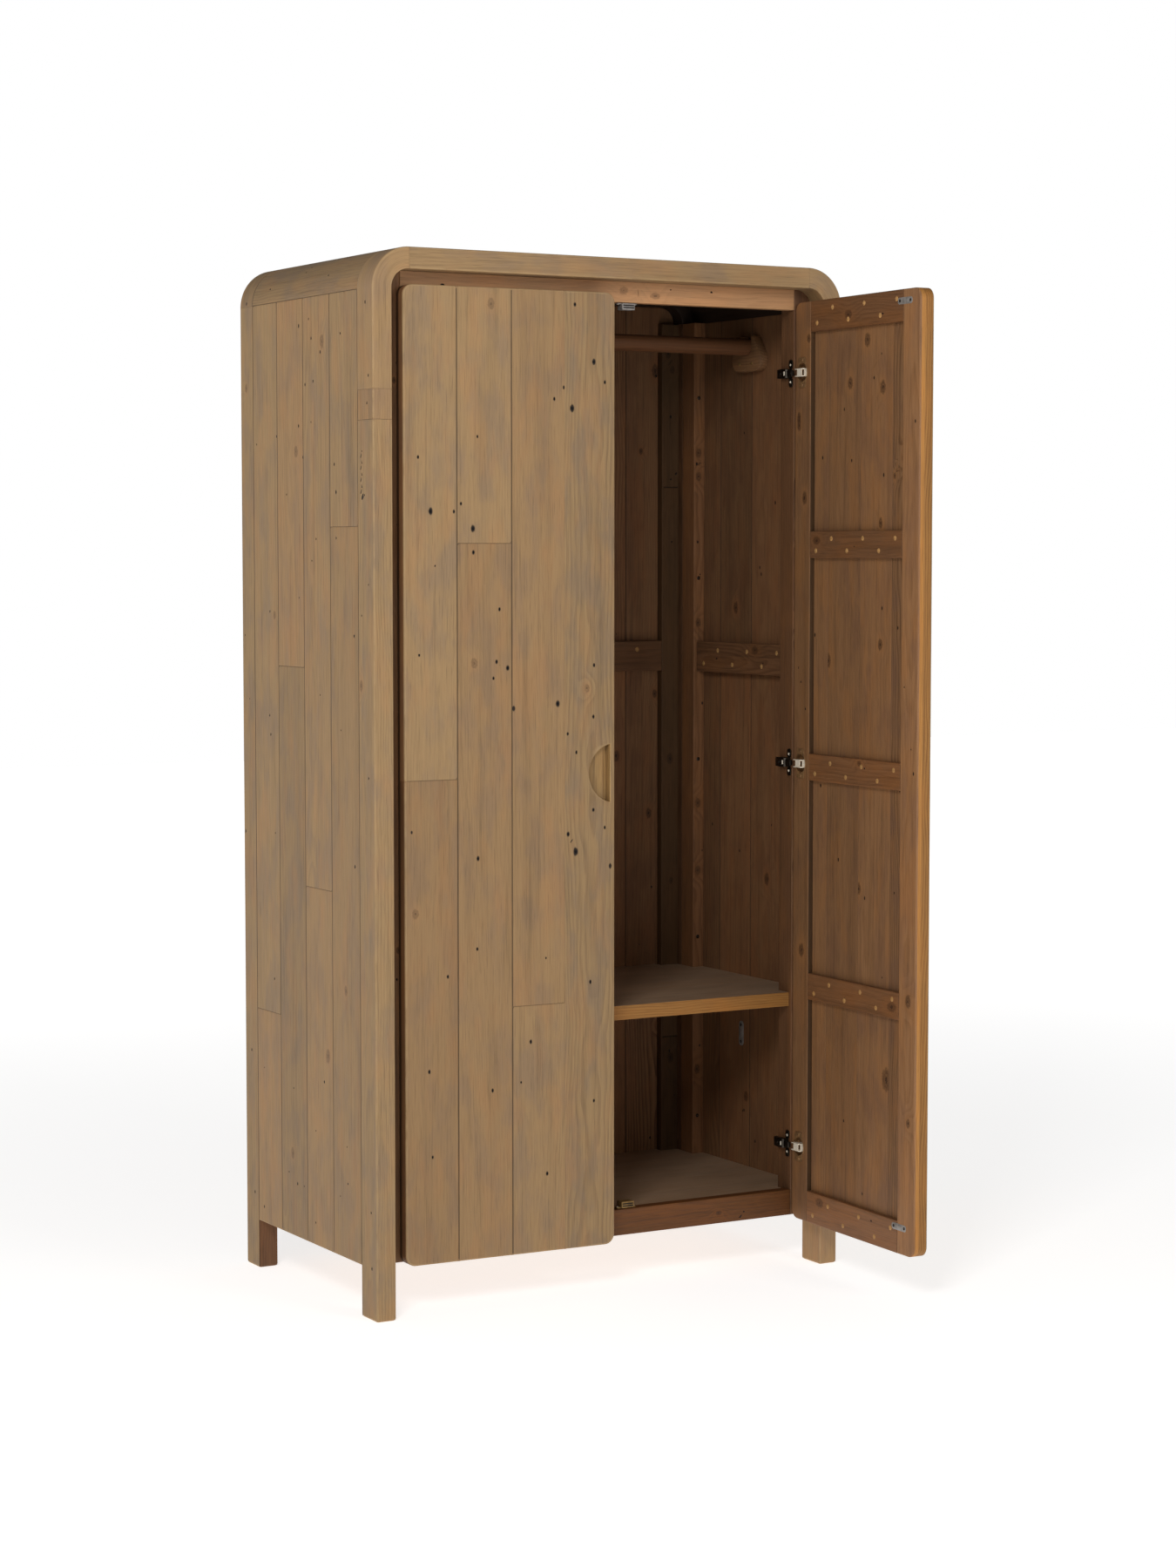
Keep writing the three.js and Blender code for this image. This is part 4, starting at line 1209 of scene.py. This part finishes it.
def build_battens():
    low, high = span("back_batten")
    ledge(("back_ledge", "back_ledge_plugs"),
          (high[2] - low[2], high[0] - low[0], high[1] - low[1]), straight(low, Z, X, Y),
          "batten_pine", "back_batten", 12, looks=("batten",) * 3, extra_holes=2, extra_knots=3)
    for side, name in SIDE_NAMES.items():
        low, high = span(f"side_batten_{name}")
        inner = outward(side, low, high)[1]
        ledge((f"side_ledge_{name}", f"side_ledge_plugs_{name}"),
              (high[2] - low[2], high[1] - low[1], high[0] - low[0]),
              straight((inner, low[1], low[2]), Z, Y, (side, 0, 0)), "batten_pine",
              f"side_batten_{name}", 7, looks=("batten",) * 3, extra_holes=2, extra_knots=1)


# ---- Floor, shelf and clothes rail ---------------------------------------------------

FLOOR_BOARDS, SHELF_BOARDS = 5, 6


def inside_steps():
    """Half-widths of the space inside the case, each with the depth where it ends."""
    clear = 0.6 * MM
    stile_low, stile_high = span("face_stile_right")
    post_low, upright_low = span("rear_post_right")[0], span("back_stile_right")[0]
    return [(stile_low[0] - clear, stile_high[1]),
            (span("side_panel_right")[0][0] - clear, post_low[1] - clear),
            (post_low[0] - clear, upright_low[1] - clear),
            (upright_low[0] - clear, span("back_panel")[0][1])]


def build_boards_across(node, prefix, count, look, front_look):
    """A floor or shelf of boards that run from side to side, fitted round the posts."""
    low, high = span(node)
    thickness = high[2] - low[2]
    marks = np.linspace(low[1], high[1], count + 1)
    for n, (front, back) in enumerate(zip(marks, marks[1:])):
        edge_points, start = [], front
        for half, end in inside_steps():
            if end > front + 1 * MM and start < back:
                stop = min(end, back)
                edge_points += [(half, start), (half, stop)]
                start = stop
        outline = edge_points + [(-x, y) for x, y in edge_points[::-1]]
        piece = Piece(f"{prefix}_{n + 1}")
        piece.add(plate(outline, thickness, 0.35 * MM), look,
                  lambda p, q, w: np.stack([p, q, high[2] - w], 1))
        made = piece.finish(15)
        if n == 0:
            made.data.materials.append(LOOKS[front_look])
            recolour(made, 1)
        put(made, "case", None if n else node)


def build_clothes_rail():
    low, high = span("clothes_rod")
    radius = (high[2] - low[2]) / 2
    length = high[0] - low[0]
    rings = [(radius * 0.9, 0.0), (radius, 1.5 * MM)]
    rings += [(radius, 1.5 * MM + (length - 3 * MM) * k / 12) for k in range(1, 12)]
    rings += [(radius, length - 1.5 * MM), (radius * 0.9, length)]
    rod = Piece("rail_rod")
    centre = (low + high) / 2
    rod.add(turned(rings, 40), "rod", straight((low[0], centre[1], centre[2]), Y, Z, X))
    put(rod.finish(), "case", "clothes_rod")

    for side, name in SIDE_NAMES.items():
        low, high = span(f"rail_bracket_{name}")
        outer, inner = outward(side, low, high)
        half = (high[1] - low[1]) / 2
        seat = radius + 0.3 * MM
        corner, horn = 24 * MM, 8 * MM
        rise, top = centre[2] - low[2], high[2] - centre[2]
        right = arc((half - corner, corner - rise), corner, -90, 45, 8) + [(seat + horn, top)]
        cradle = [(seat, top)] + arc((0, 0), seat, 0, -180, 12) + [(-seat, top)]
        outline = right + cradle + [(-x, z) for x, z in right[::-1]]
        place = straight((inner, centre[1], centre[2]), Y, Z, (side, 0, 0))
        piece = Piece(f"rod_bracket_{name}", turn=2)
        piece.add(plate(outline, abs(outer - inner), 1.5 * MM), "door_back", place)
        for p in (-20 * MM, 26 * MM):
            piece.add(screw(3.8 * MM), "brass", offset(place, p, -34 * MM, 0.0))
        put(piece.finish(), "case", f"rail_bracket_{name}")


# ---- Doors --------------------------------------------------------------------------

DOOR_SEAMS = [110, 224.5, 337.5]  # mm from the hinge edge
DOOR_BUTTS = {LEFT: ([1013], [1456], [575], []), RIGHT: ([1454], [572], [1012], [])}
DOOR_FIGURES = [0.12, 0.1, 0.16, 1.0]
DOOR_TONES_AND_SHADE = [(-0.9, -0.4), (-1.2, 0.0), (-0.4, -0.5), (-0.8,)]  # of the boards, upwards; the lower pieces of the first two boards are darker, painted shade where the light falls off towards the bottom of the door
FAINT = -0.45 * MM  # joint on the inside of a door
CORNER = 20 * MM
EDGE = 3 * MM  # eased long edge of a door
DOOR_END = 2.5 * MM  # eased top and bottom of a door
STILE_END = 2 * MM
CUP_BORE = (20.1 * MM, 10.7 * MM)  # radius and depth
CUP_CENTRE = 28  # mm from the hinge edge
PULL_STRAIGHT = 10.5 * MM  # from the free edge to the pull's straight side
PULL_DROP = 3 * MM  # its middle below the middle hinge's
HINGES, LEDGES = (1, 2, 3), (1, 2, 3, 4, 5)
LEDGE_PLUGS = 6


class Door:
    """One door's own coordinates about its hinge axis, as if it stood closed: a runs from the
    axis towards the free edge, b into the case and z up."""

    def __init__(self, side):
        self.side, self.name = side, SIDE_NAMES[side]
        self.body = f"{self.name}_door"
        joint = next(j for j in frame["joints"] if j["child"] == self.body)
        self.axis = np.array(joint["pos_m"][:2])
        turn = -math.radians(joint["range_deg"][0]) * side
        self.turn = np.array([[math.cos(turn), -math.sin(turn)],
                              [math.sin(turn), math.cos(turn)]])

    def at(self, a, b, z):
        closed = np.stack([-self.side * a, b], 1)
        moved = closed @ self.turn.T + self.axis
        return np.column_stack([moved, z])

    def box(self, part):
        """The box of one of the door's CAD nodes in the door's own coordinates."""
        mesh = frame["nodes"][f"{self.body}_{part}"].data
        points = np.array([v.co for v in mesh.vertices])
        closed = (points[:, :2] - self.axis) @ self.turn
        local = np.column_stack([-self.side * closed[:, 0], closed[:, 1], points[:, 2]])
        return local.min(0), local.max(0)

    def cup_z(self, number):
        """The height of a hinge's middle."""
        low, high = self.box(f"hinge_cup_{number}")
        return (low[2] + high[2]) / 2

    def facing_out(self, a0, b0, z0):
        """Boards of the front: p from the hinge edge, q up and w into the door."""
        return lambda p, q, w: self.at(a0 + p, b0 + w, z0 + q)

    def facing_in(self, a0, b0, z0):
        """Boards of the back, seen from inside the case."""
        return lambda p, q, w: self.at(a0 + p, b0 - w, z0 + q)

    def ledge(self, a0, b0, z0):
        """The same for a board that runs across the door."""
        return lambda p, q, w: self.at(a0 + q, b0 - w, z0 + p)


def build_door_front(door, spots):
    low, high = door.box("boards")
    thickness = high[1] - low[1]
    marks = runs(low[0], high[0], [low[0] + mm * MM for mm in DOOR_SEAMS])
    for n, (start, end) in enumerate(marks):
        first, last = n == 0, n == len(marks) - 1
        near = EDGE if first else TIGHT if last else SEAM
        far = EDGE if last else TIGHT if n == len(marks) - 2 else SEAM
        back_near, back_far = FLUSH if first else FAINT, FLUSH if last else FAINT
        pieces = runs(low[2], high[2], [z * MM for z in DOOR_BUTTS[door.side][n]])
        for k, (bottom, top) in enumerate(pieces):
            lowest, highest = k == 0, k == len(pieces) - 1
            corners = (CORNER if first and lowest else 0, CORNER if last and lowest else 0,
                       CORNER if last and highest else 0, CORNER if first and highest else 0)
            pockets = []
            if last and lowest:
                pull_q = door.cup_z(2) - PULL_DROP - bottom
                pockets.append(HalfMoon(end - start + 1.5 * MM, pull_q,
                                        end - start - PULL_STRAIGHT))
            holes, knots = (spots_on(spots[kind], start, end, bottom, top, low[0])
                            for kind in ("holes", "knots"))
            lay(f"{door.body}_board_{n + 1}_{k + 1}", (end - start, top - bottom, thickness),
                door.facing_out(start, low[1], bottom), "weathered_pine",
                f"{door.body}_boards" if n == k == 0 else None, body=door.body,
                edges=(near, far, DOOR_END if lowest else BUTT, DOOR_END if highest else BUTT),
                back_edges=(back_near, back_far, FLUSH if lowest else BUTT,
                            FLUSH if highest else BUTT),
                corners=corners, pitch=(8 * MM, 9 * MM),
                looks=("weathered", "honey" if last else "door_back", "door_back"),
                holes=holes, knots=knots, pockets=pockets, figure=DOOR_FIGURES[n],
                extra_holes=1 if spots["holes"] else round(4 * (top - bottom)),
                tone=DOOR_TONES_AND_SHADE[n][k] if door.side == LEFT else 0.0)


def build_door_back(door, spots):
    for part, hinge_side in (("hinge_stile", True), ("free_stile", False)):
        low, high = door.box(part)
        sides = (EDGE, 1.2 * MM) if hinge_side else (1.2 * MM, EDGE)
        pockets, knots = [], ()
        if hinge_side:
            knots = spots_on(spots["stile_knots"], low[0], high[0], low[2], high[2], low[0])
            pockets = [Bore(CUP_CENTRE * MM, door.cup_z(k) - low[2], *CUP_BORE) for k in HINGES]
        lay(f"{door.body}_{part}_board",
            (high[0] - low[0], high[2] - low[2], high[1] - low[1] + 0.3 * MM),
            door.facing_in(low[0], high[1], low[2]), "door_back_pine", f"{door.body}_{part}",
            body=door.body, edges=(*sides, STILE_END, STILE_END), back_edges=(FLUSH,) * 4,
            corners=(CORNER, 0, 0, CORNER) if hinge_side else (0, CORNER, CORNER, 0),
            # The hinge stile's edge is dim: painted shade beside the case
            looks=("door_back", "dim" if hinge_side else "honey", "door_back"),
            tone=-0.7 if hinge_side else 0.5, pockets=pockets, knots=knots, extra_holes=4,
            extra_knots=2)
    for k in LEDGES:
        low, high = door.box(f"ledge_{k}")
        ledge((f"{door.body}_ledge_board_{k}", f"{door.body}_ledge_plugs_{k}"),
              (high[2] - low[2], high[0] - low[0], high[1] - low[1]),
              door.ledge(low[0], high[1], low[2]), "door_back_pine",
              f"{door.body}_ledge_{k}", LEDGE_PLUGS, body=door.body, looks=("ledge",) * 3,
              extra_holes=1, extra_knots=1)


# ---- Hardware -----------------------------------------------------------------------


def slab(outline, low, high, ease=0.4 * MM):
    """A plate between two values of w, all but its ease in mm."""
    points, faces = plate(in_mm(outline), (high - low) * MM, ease)
    return [(p, q, w + low * MM) for p, q, w in points], faces


def rectangle(low_p, low_q, high_p, high_q):
    return [(low_p, low_q), (high_p, low_q), (high_p, high_q), (low_p, high_q)]


def build_hinge(door, number):
    """A concealed cup hinge. Here u is measured from the door's hinge edge, v from its back
    face and h from the hinge's middle, all in mm."""
    edge, back = door.box("boards")[0][0], door.box("hinge_stile")[1][1]
    middle = door.cup_z(number)

    def on_door(u, v, h):
        return door.at(edge + u, back + v, middle + h)

    def on_case(u, v, h):
        closed = np.stack([-door.side * (edge + u), back + v], 1) + door.axis
        return np.column_stack([closed, middle + h])

    def into_edge(p, q, w):  # seen from the free edge: p is v, q is h and w runs towards -u
        return on_case(-w, p, q)

    arm = Piece(f"hinge_arm_{number}_{door.name}_fine")
    body = [(9.8, 14), (11, 12), (18.4, 12), (21.5, 15), (21.5, 40), (19.5, 46), (18, 50),
            (15, 52), (9.8, 52)]
    arm.add(slab(body, -9, 9, 1.2 * MM), "dark_steel", on_case)
    arm.add(slab(rectangle(12, 20, 20.7, 36), -9.6, 9.6, 0.5 * MM), "dark_steel", on_case)
    for h in (-18.4, 18.4):
        wing = in_mm([(p + 11, q + h) for p, q in rounded_outline(13, 17.2, 5)])
        arm.add(plate(wing, 2.2 * MM, 0.6 * MM), "dark_steel",
                offset(into_edge, 0.0, 0.0, -12 * MM))
        arm.add(screw(2.6 * MM), "nickel", offset(into_edge, 11 * MM, h * 0.92 * MM, -12 * MM))
    arm.add(slab(rectangle(9.8, 7.8, 11.9, 20), -9.6, 9.6), "dark_steel", on_case)
    arm.add(slab(rectangle(19, 17.4, 22.3, 20.8), -4, 4), "nickel", on_case)
    arm.add(screw(2.8 * MM), "dark_steel", offset(into_edge, 34 * MM, 0.0, -21.6 * MM))
    tip = [(12.8, 13), (12.8, 0), (14.7, -3), (14.7, -7), (16, -8.5), (20, -8.5),
           (21.3, -6), (18.5, 4), (18.5, 13)]
    arm.add(slab(tip, -5.5, 5.5, 0.6 * MM), "dark_steel", on_case)
    sleeve = [(12.3, 12.4), (12.3, 3.2), (19.2, 3.2), (19.2, 12.4)]
    arm.add(slab(sleeve, -5.9, 5.9), "dark_steel", on_case)
    put(arm.finish(30), "case", f"hinge_arm_{number}_{door.name}")

    cup = Piece(f"hinge_cup_{number}_{door.name}_fine")

    def about_cup(p, q, w):
        return on_door(CUP_CENTRE * MM + p, -w, q)

    bowl = in_mm([(0.1, 10.4), (18.8, 10.4), (19.6, 9.4), (19.6, 0.0), (18.2, 0.0), (18.2, 8.2),
                  (17.2, 9.2), (0.1, 9.2)])
    rim = in_mm([(18.2, -0.1), (20.4, -0.1), (20.4, -0.9), (19.8, -1.4), (18.6, -1.4),
                 (18.2, -1.0)])
    cup.add(turned(bowl, 32), "bronze", about_cup)
    cup.add(turned(rim, 32, "joined"), "bronze", about_cup)
    for way in (1, -1):
        ear = arc((0, 0), 20.2 * MM, 46, 134, 8)[::-1]
        ear += arc((8 * MM, 24 * MM), 6 * MM, 0, 90, 4)
        ear += arc((-8 * MM, 24 * MM), 6 * MM, 90, 180, 4)
        ear = [(p, q * way) for p, q in ear]
        cup.add(plate(ear, 1.2 * MM, 0.3 * MM), "bronze",
                offset(about_cup, 0.0, 0.0, -1.3 * MM))
        cup.add(screw(3.6 * MM), "bronze", offset(about_cup, 0.0, way * 24.5 * MM, -1.4 * MM))
    cheek = [(24, -9), (41.5, -9), (43, -7.5), (43, 5), (39, 9), (14, 9), (10.6, 6),
             (10.6, 2.2), (24, -2)]
    for low, high in ((6.2, 7.8), (-7.8, -6.2)):
        cup.add(slab(cheek, low, high), "nickel", on_door)
    for bridge in (rectangle(22, 7.4, 38.4, 9), rectangle(41.4, -8.8, 43, 5)):
        cup.add(slab(bridge, -6.4, 6.4), "nickel", on_door)
    rivet = turned(in_mm([(0.1, 7.6), (1.8, 7.6), (1.8, 8.0), (1.5, 8.3), (0.1, 8.3)]), 12)
    for u, v in ((13.6, 5.4), (37.5, 1.5)):
        for way in (1, -1):
            cup.add(rivet, "bronze",
                    lambda p, q, w: on_door(u * MM + p, v * MM + q, w * way))
    put(cup.finish(30), door.body, f"{door.body}_hinge_cup_{number}")


def build_catches():
    """The magnetic catches: a steel case, two black strips in its face that stand for its slots
    as painted shade, and two ears.
    """
    for where, down in (("bottom", 1), ("top", -1)):
        for name in SIDE_NAMES.values():
            node = f"{where}_catch_{name}"
            low, high = span(node)
            middle = (low[0] + high[0]) / 2
            base = low[2] if down > 0 else high[2]
            deep = high[1] - low[1]
            height = high[2] - low[2]
            half = (high[0] - low[0]) / 2
            look = "brass" if down > 0 else "grey_steel"

            def place(p, q, w):  # p along X, q away from the rail, w into the case
                return np.stack([middle + p, low[1] + w, base + down * q], 1)

            def onto(p, q, w):  # w towards the rail
                return np.stack([middle + p, low[1] + q, base - down * w], 1)

            piece = Piece(f"{node}_fine")
            body = [(p, q + height / 2 + 0.4 * MM) for p, q in
                    rounded_outline(28 * MM, height - 0.8 * MM, 1.2 * MM, 2)]
            piece.add(plate(body, deep - 0.8 * MM, 0.6 * MM), look,
                      offset(place, 0.0, 0.0, 0.8 * MM))
            # The strips are pit black: painted shade in the slots of the catch's face
            for q in (0.36, 0.68):
                strip = [(p, t + q * height) for p, t in
                         rounded_outline(24 * MM, 2.2 * MM, 0.5 * MM, 2)]
                piece.add(plate(strip, 4 * MM, 0.2 * MM), "pit", place)
            ear = rounded_outline(2 * half, 11 * MM, 4.5 * MM)
            piece.add(plate([(p, q + deep / 2) for p, q in ear], 2.6 * MM, 0.5 * MM), look,
                      offset(onto, 0.0, 0.0, -2.7 * MM))
            for p in (half - 4.6 * MM, 4.6 * MM - half):
                piece.add(screw(2.4 * MM), "nickel", offset(onto, p, deep / 2, -2.8 * MM))
            put(piece.finish(30), "case", node)


PLATE_THICK = 1.6 * MM
PLATE_GAP = 36 * MM  # between the two screws of a plate


def flat_plate(name, body, place, width, length):
    """A thin steel plate with round ends, held by two screws."""
    piece = Piece(name)
    outline = rounded_outline(width, length, min(width, length) * 0.42)
    piece.add(plate(outline, PLATE_THICK, 0.4 * MM), "grey_steel",
              offset(place, 0.0, 0.0, -PLATE_THICK))
    along_p = width > length
    for way in (1, -1):
        p, q = (way * PLATE_GAP / 2, 0.0) if along_p else (0.0, way * PLATE_GAP / 2)
        # The screws are pit black: painted shade in the screw holes
        piece.add(screw(3.4 * MM), "pit", offset(place, p, q, -PLATE_THICK + 0.3 * MM))
    raised = ((PLATE_GAP * 0.5, length * 0.6) if along_p else (width * 0.6, PLATE_GAP * 0.5))
    piece.add(plate(rounded_outline(*raised, 1.5 * MM), 0.9 * MM, 0.35 * MM), "grey_steel",
              offset(place, 0.0, 0.0, -PLATE_THICK - 0.5 * MM))
    put(piece.finish(30), body)


STRIKE_SUNK = 1.4 * MM  # let into the door, clear of the rail that it closes on


def build_strikes(door):
    """The steel plates that the catches pull on, at the top and bottom of the door."""
    low, high = door.box("free_stile")
    for where, z in (("top", high[2] - 22 * MM), ("bottom", low[2] + 52 * MM)):
        place = door.facing_in(high[0] - 52 * MM, high[1] - STRIKE_SUNK, z)
        flat_plate(f"{door.body}_strike_{where}", door.body, place, 50 * MM, 13 * MM)


def build_shelf_plates():
    """Small plates that screw the shelf's cleats to the side boards."""
    back_y, front_y = span("rear_post_left")[0][1], span("side_panel_left")[0][1]
    depth = front_y + 0.64 * (back_y - front_y)
    for side, name in SIDE_NAMES.items():
        inner = outward(side, *span(f"side_panel_{name}"))[1]
        place = straight((inner, depth, span("shelf")[0][2] - 97 * MM), Y, Z, (side, 0, 0))
        flat_plate(f"shelf_plate_{name}", "case", place, 17 * MM, 52 * MM)


# ---- Assembly -------------------------------------------------------------------------

# Marks on the two doors: mm from the hinge edge, height and radius
LEFT_SPOTS = {
    "holes": [(401, 1801, 2.4), (425, 1763, 1.6), (335, 1751, 1.5), (315, 1729, 1.6),
              (355, 1715, 2.8), (29, 1616, 1.6), (55, 1516, 2.9), (104, 1515, 1.5),
              (146, 1485, 2.8), (146, 1439, 2.0), (31, 1250, 1.3), (192, 1234, 1.7),
              (213, 1221, 2.3), (186, 1201, 1.5), (228, 1144, 2.2), (324, 1151, 2.9),
              (399, 1124, 1.6), (342, 1093, 1.5), (362, 1058, 1.5), (14, 917, 1.5),
              (399, 945, 1.7), (342, 899, 2.1), (364, 866, 3.0), (153, 862, 2.2),
              (358, 1908, 1.8), (425, 910, 1.4), (118, 1531, 1.6), (436, 835, 2.0),
              (88, 640, 1.5), (262, 505, 1.8), (402, 380, 1.6), (301, 246, 1.7),
              (55, 300, 1.5), (180, 415, 1.6), (395, 610, 1.8), (150, 690, 1.5)],
    "knots": [(182, 1903, 7.0), (385, 1179, 5.0), (145, 1231, 6.0), (22, 763, 6.0)],
    "stile_knots": []}
RIGHT_SPOTS = {
    "holes": [],
    "knots": [(247, 1847, 9), (186, 1767, 8), (302, 1754, 8), (379, 1618, 7), (345, 1584, 4),
              (297, 1495, 6), (299, 1262, 7), (111, 1226, 8), (227, 784, 7), (330, 422, 14)],
    "stile_knots": [(51, 1861, 6), (16, 1707, 6), (16, 1690, 6)]}

build_top_rail()
for each_side in (LEFT, RIGHT):
    build_front_frame(each_side)
    build_side(each_side)
build_rear_frame()
build_top()
build_face_frame()
build_back()
build_battens()
build_boards_across("floor_panel", "floor_board", FLOOR_BOARDS, "floor", "floor")
build_boards_across("shelf", "shelf_board", SHELF_BOARDS, "floor", "honey")
build_clothes_rail()
for each_side, each_spots in ((LEFT, LEFT_SPOTS), (RIGHT, RIGHT_SPOTS)):
    each_door = Door(each_side)
    build_door_front(each_door, each_spots)
    build_door_back(each_door, each_spots)
    build_strikes(each_door)
    for number in HINGES:
        build_hinge(each_door, number)
build_catches()
build_shelf_plates()

# ---- Stage, light and camera -------------------------------------------------------------

CAMERA_PLACE = (-3.10641, -5.39929, 1.43547)
CAMERA_YAW = 29.857  # degrees to the right of +Y
CAMERA_PITCH = -4.116
LENS = 73.30
FLOOR_SIZE = 30.0
NEAR_GLOW, FAR_GLOW = (1.0, 0.68), (8.0, 1.0)  # distance on the floor and its own light
LOW_SKY, HIGH_SKY = (0.1, 0.43), (0.85, 0.11)  # height in the sky and its light


def build_stage():
    g = Graph("studio_floor")
    where = g.node("TexCoord", {}).outputs["Object"]
    colour = g.mix(g.noise(where, (0.8, 0.8, 0.8), 3.0), rgb("eeedeb"), rgb("f6f5f4"))
    g.feed(g.shader.inputs["Base Color"], colour)
    g.shader.inputs["Roughness"].default_value = 0.9
    g.shader.inputs["Specular IOR Level"].default_value = 0.2
    g.shader.inputs["Emission Color"].default_value = (1, 1, 1, 1)
    away = g.vector("LENGTH", where)
    (near, dim), (far, bright) = NEAR_GLOW, FAR_GLOW
    g.feed(g.shader.inputs["Emission Strength"], g.step(away, near, far, dim, bright))
    mesh = bpy.data.meshes.new("studio_floor")
    half = FLOOR_SIZE / 2
    mesh.from_pydata([(-half, -half, 0), (half, -half, 0), (half, half, 0), (-half, half, 0)],
                     [], [(0, 1, 2, 3)])
    mesh.materials.append(g.material)
    linked("studio_floor", mesh)


def area_light(name, place, target, size, power):
    light = bpy.data.lights.new(name, "AREA")
    light.shape = "RECTANGLE"
    light.size, light.size_y = size
    light.energy = power
    lamp = linked(name, light)
    lamp.location = place
    direction = Vector(target) - Vector(place)
    lamp.rotation_euler = direction.to_track_quat("-Z", "Y").to_euler()


def build_light():
    """A white studio: its light comes from the walls more than from above."""
    scene = bpy.context.scene
    scene.view_settings.view_transform = "Standard"
    world = bpy.data.worlds.new("studio")
    scene.world = world
    world.use_nodes = True
    tree = world.node_tree
    links, background = tree.links, tree.nodes["Background"]
    where = tree.nodes.new("ShaderNodeTexCoord")
    split = tree.nodes.new("ShaderNodeSeparateXYZ")
    fade = tree.nodes.new("ShaderNodeMapRange")
    links.new(where.outputs["Generated"], split.inputs[0])
    links.new(split.outputs["Z"], fade.inputs["Value"])
    for end, (height, strength) in (("Min", LOW_SKY), ("Max", HIGH_SKY)):
        fade.inputs[f"From {end}"].default_value = height
        fade.inputs[f"To {end}"].default_value = strength
    seen = tree.nodes.new("ShaderNodeLightPath")
    choose = tree.nodes.new("ShaderNodeMix")
    links.new(seen.outputs["Is Camera Ray"], choose.inputs[0])
    links.new(fade.outputs["Result"], choose.inputs[2])
    choose.inputs[3].default_value = 1.0
    background.inputs["Color"].default_value = (1.0, 1.0, 1.0, 1.0)
    links.new(choose.outputs[0], background.inputs["Strength"])
    area_light("key", (-3.1, -3.5, 3.3), (0.0, 0.0, 1.3), (1.3, 1.3), 80)
    area_light("fill", (1.4, -5.2, 3.0), (0.2, 0.0, 1.0), (1.6, 1.6), 33)


def build_camera():
    data = bpy.data.cameras.new("camera")
    data.lens = LENS
    data.clip_end = 60.0
    camera = linked("camera", data)
    yaw, pitch = math.radians(CAMERA_YAW), math.radians(CAMERA_PITCH)
    ahead = Vector((math.sin(yaw) * math.cos(pitch), math.cos(yaw) * math.cos(pitch),
                    math.sin(pitch)))
    camera.location = CAMERA_PLACE
    camera.rotation_euler = ahead.to_track_quat("-Z", "Y").to_euler()
    bpy.context.scene.camera = camera


build_stage()
build_light()
build_camera()
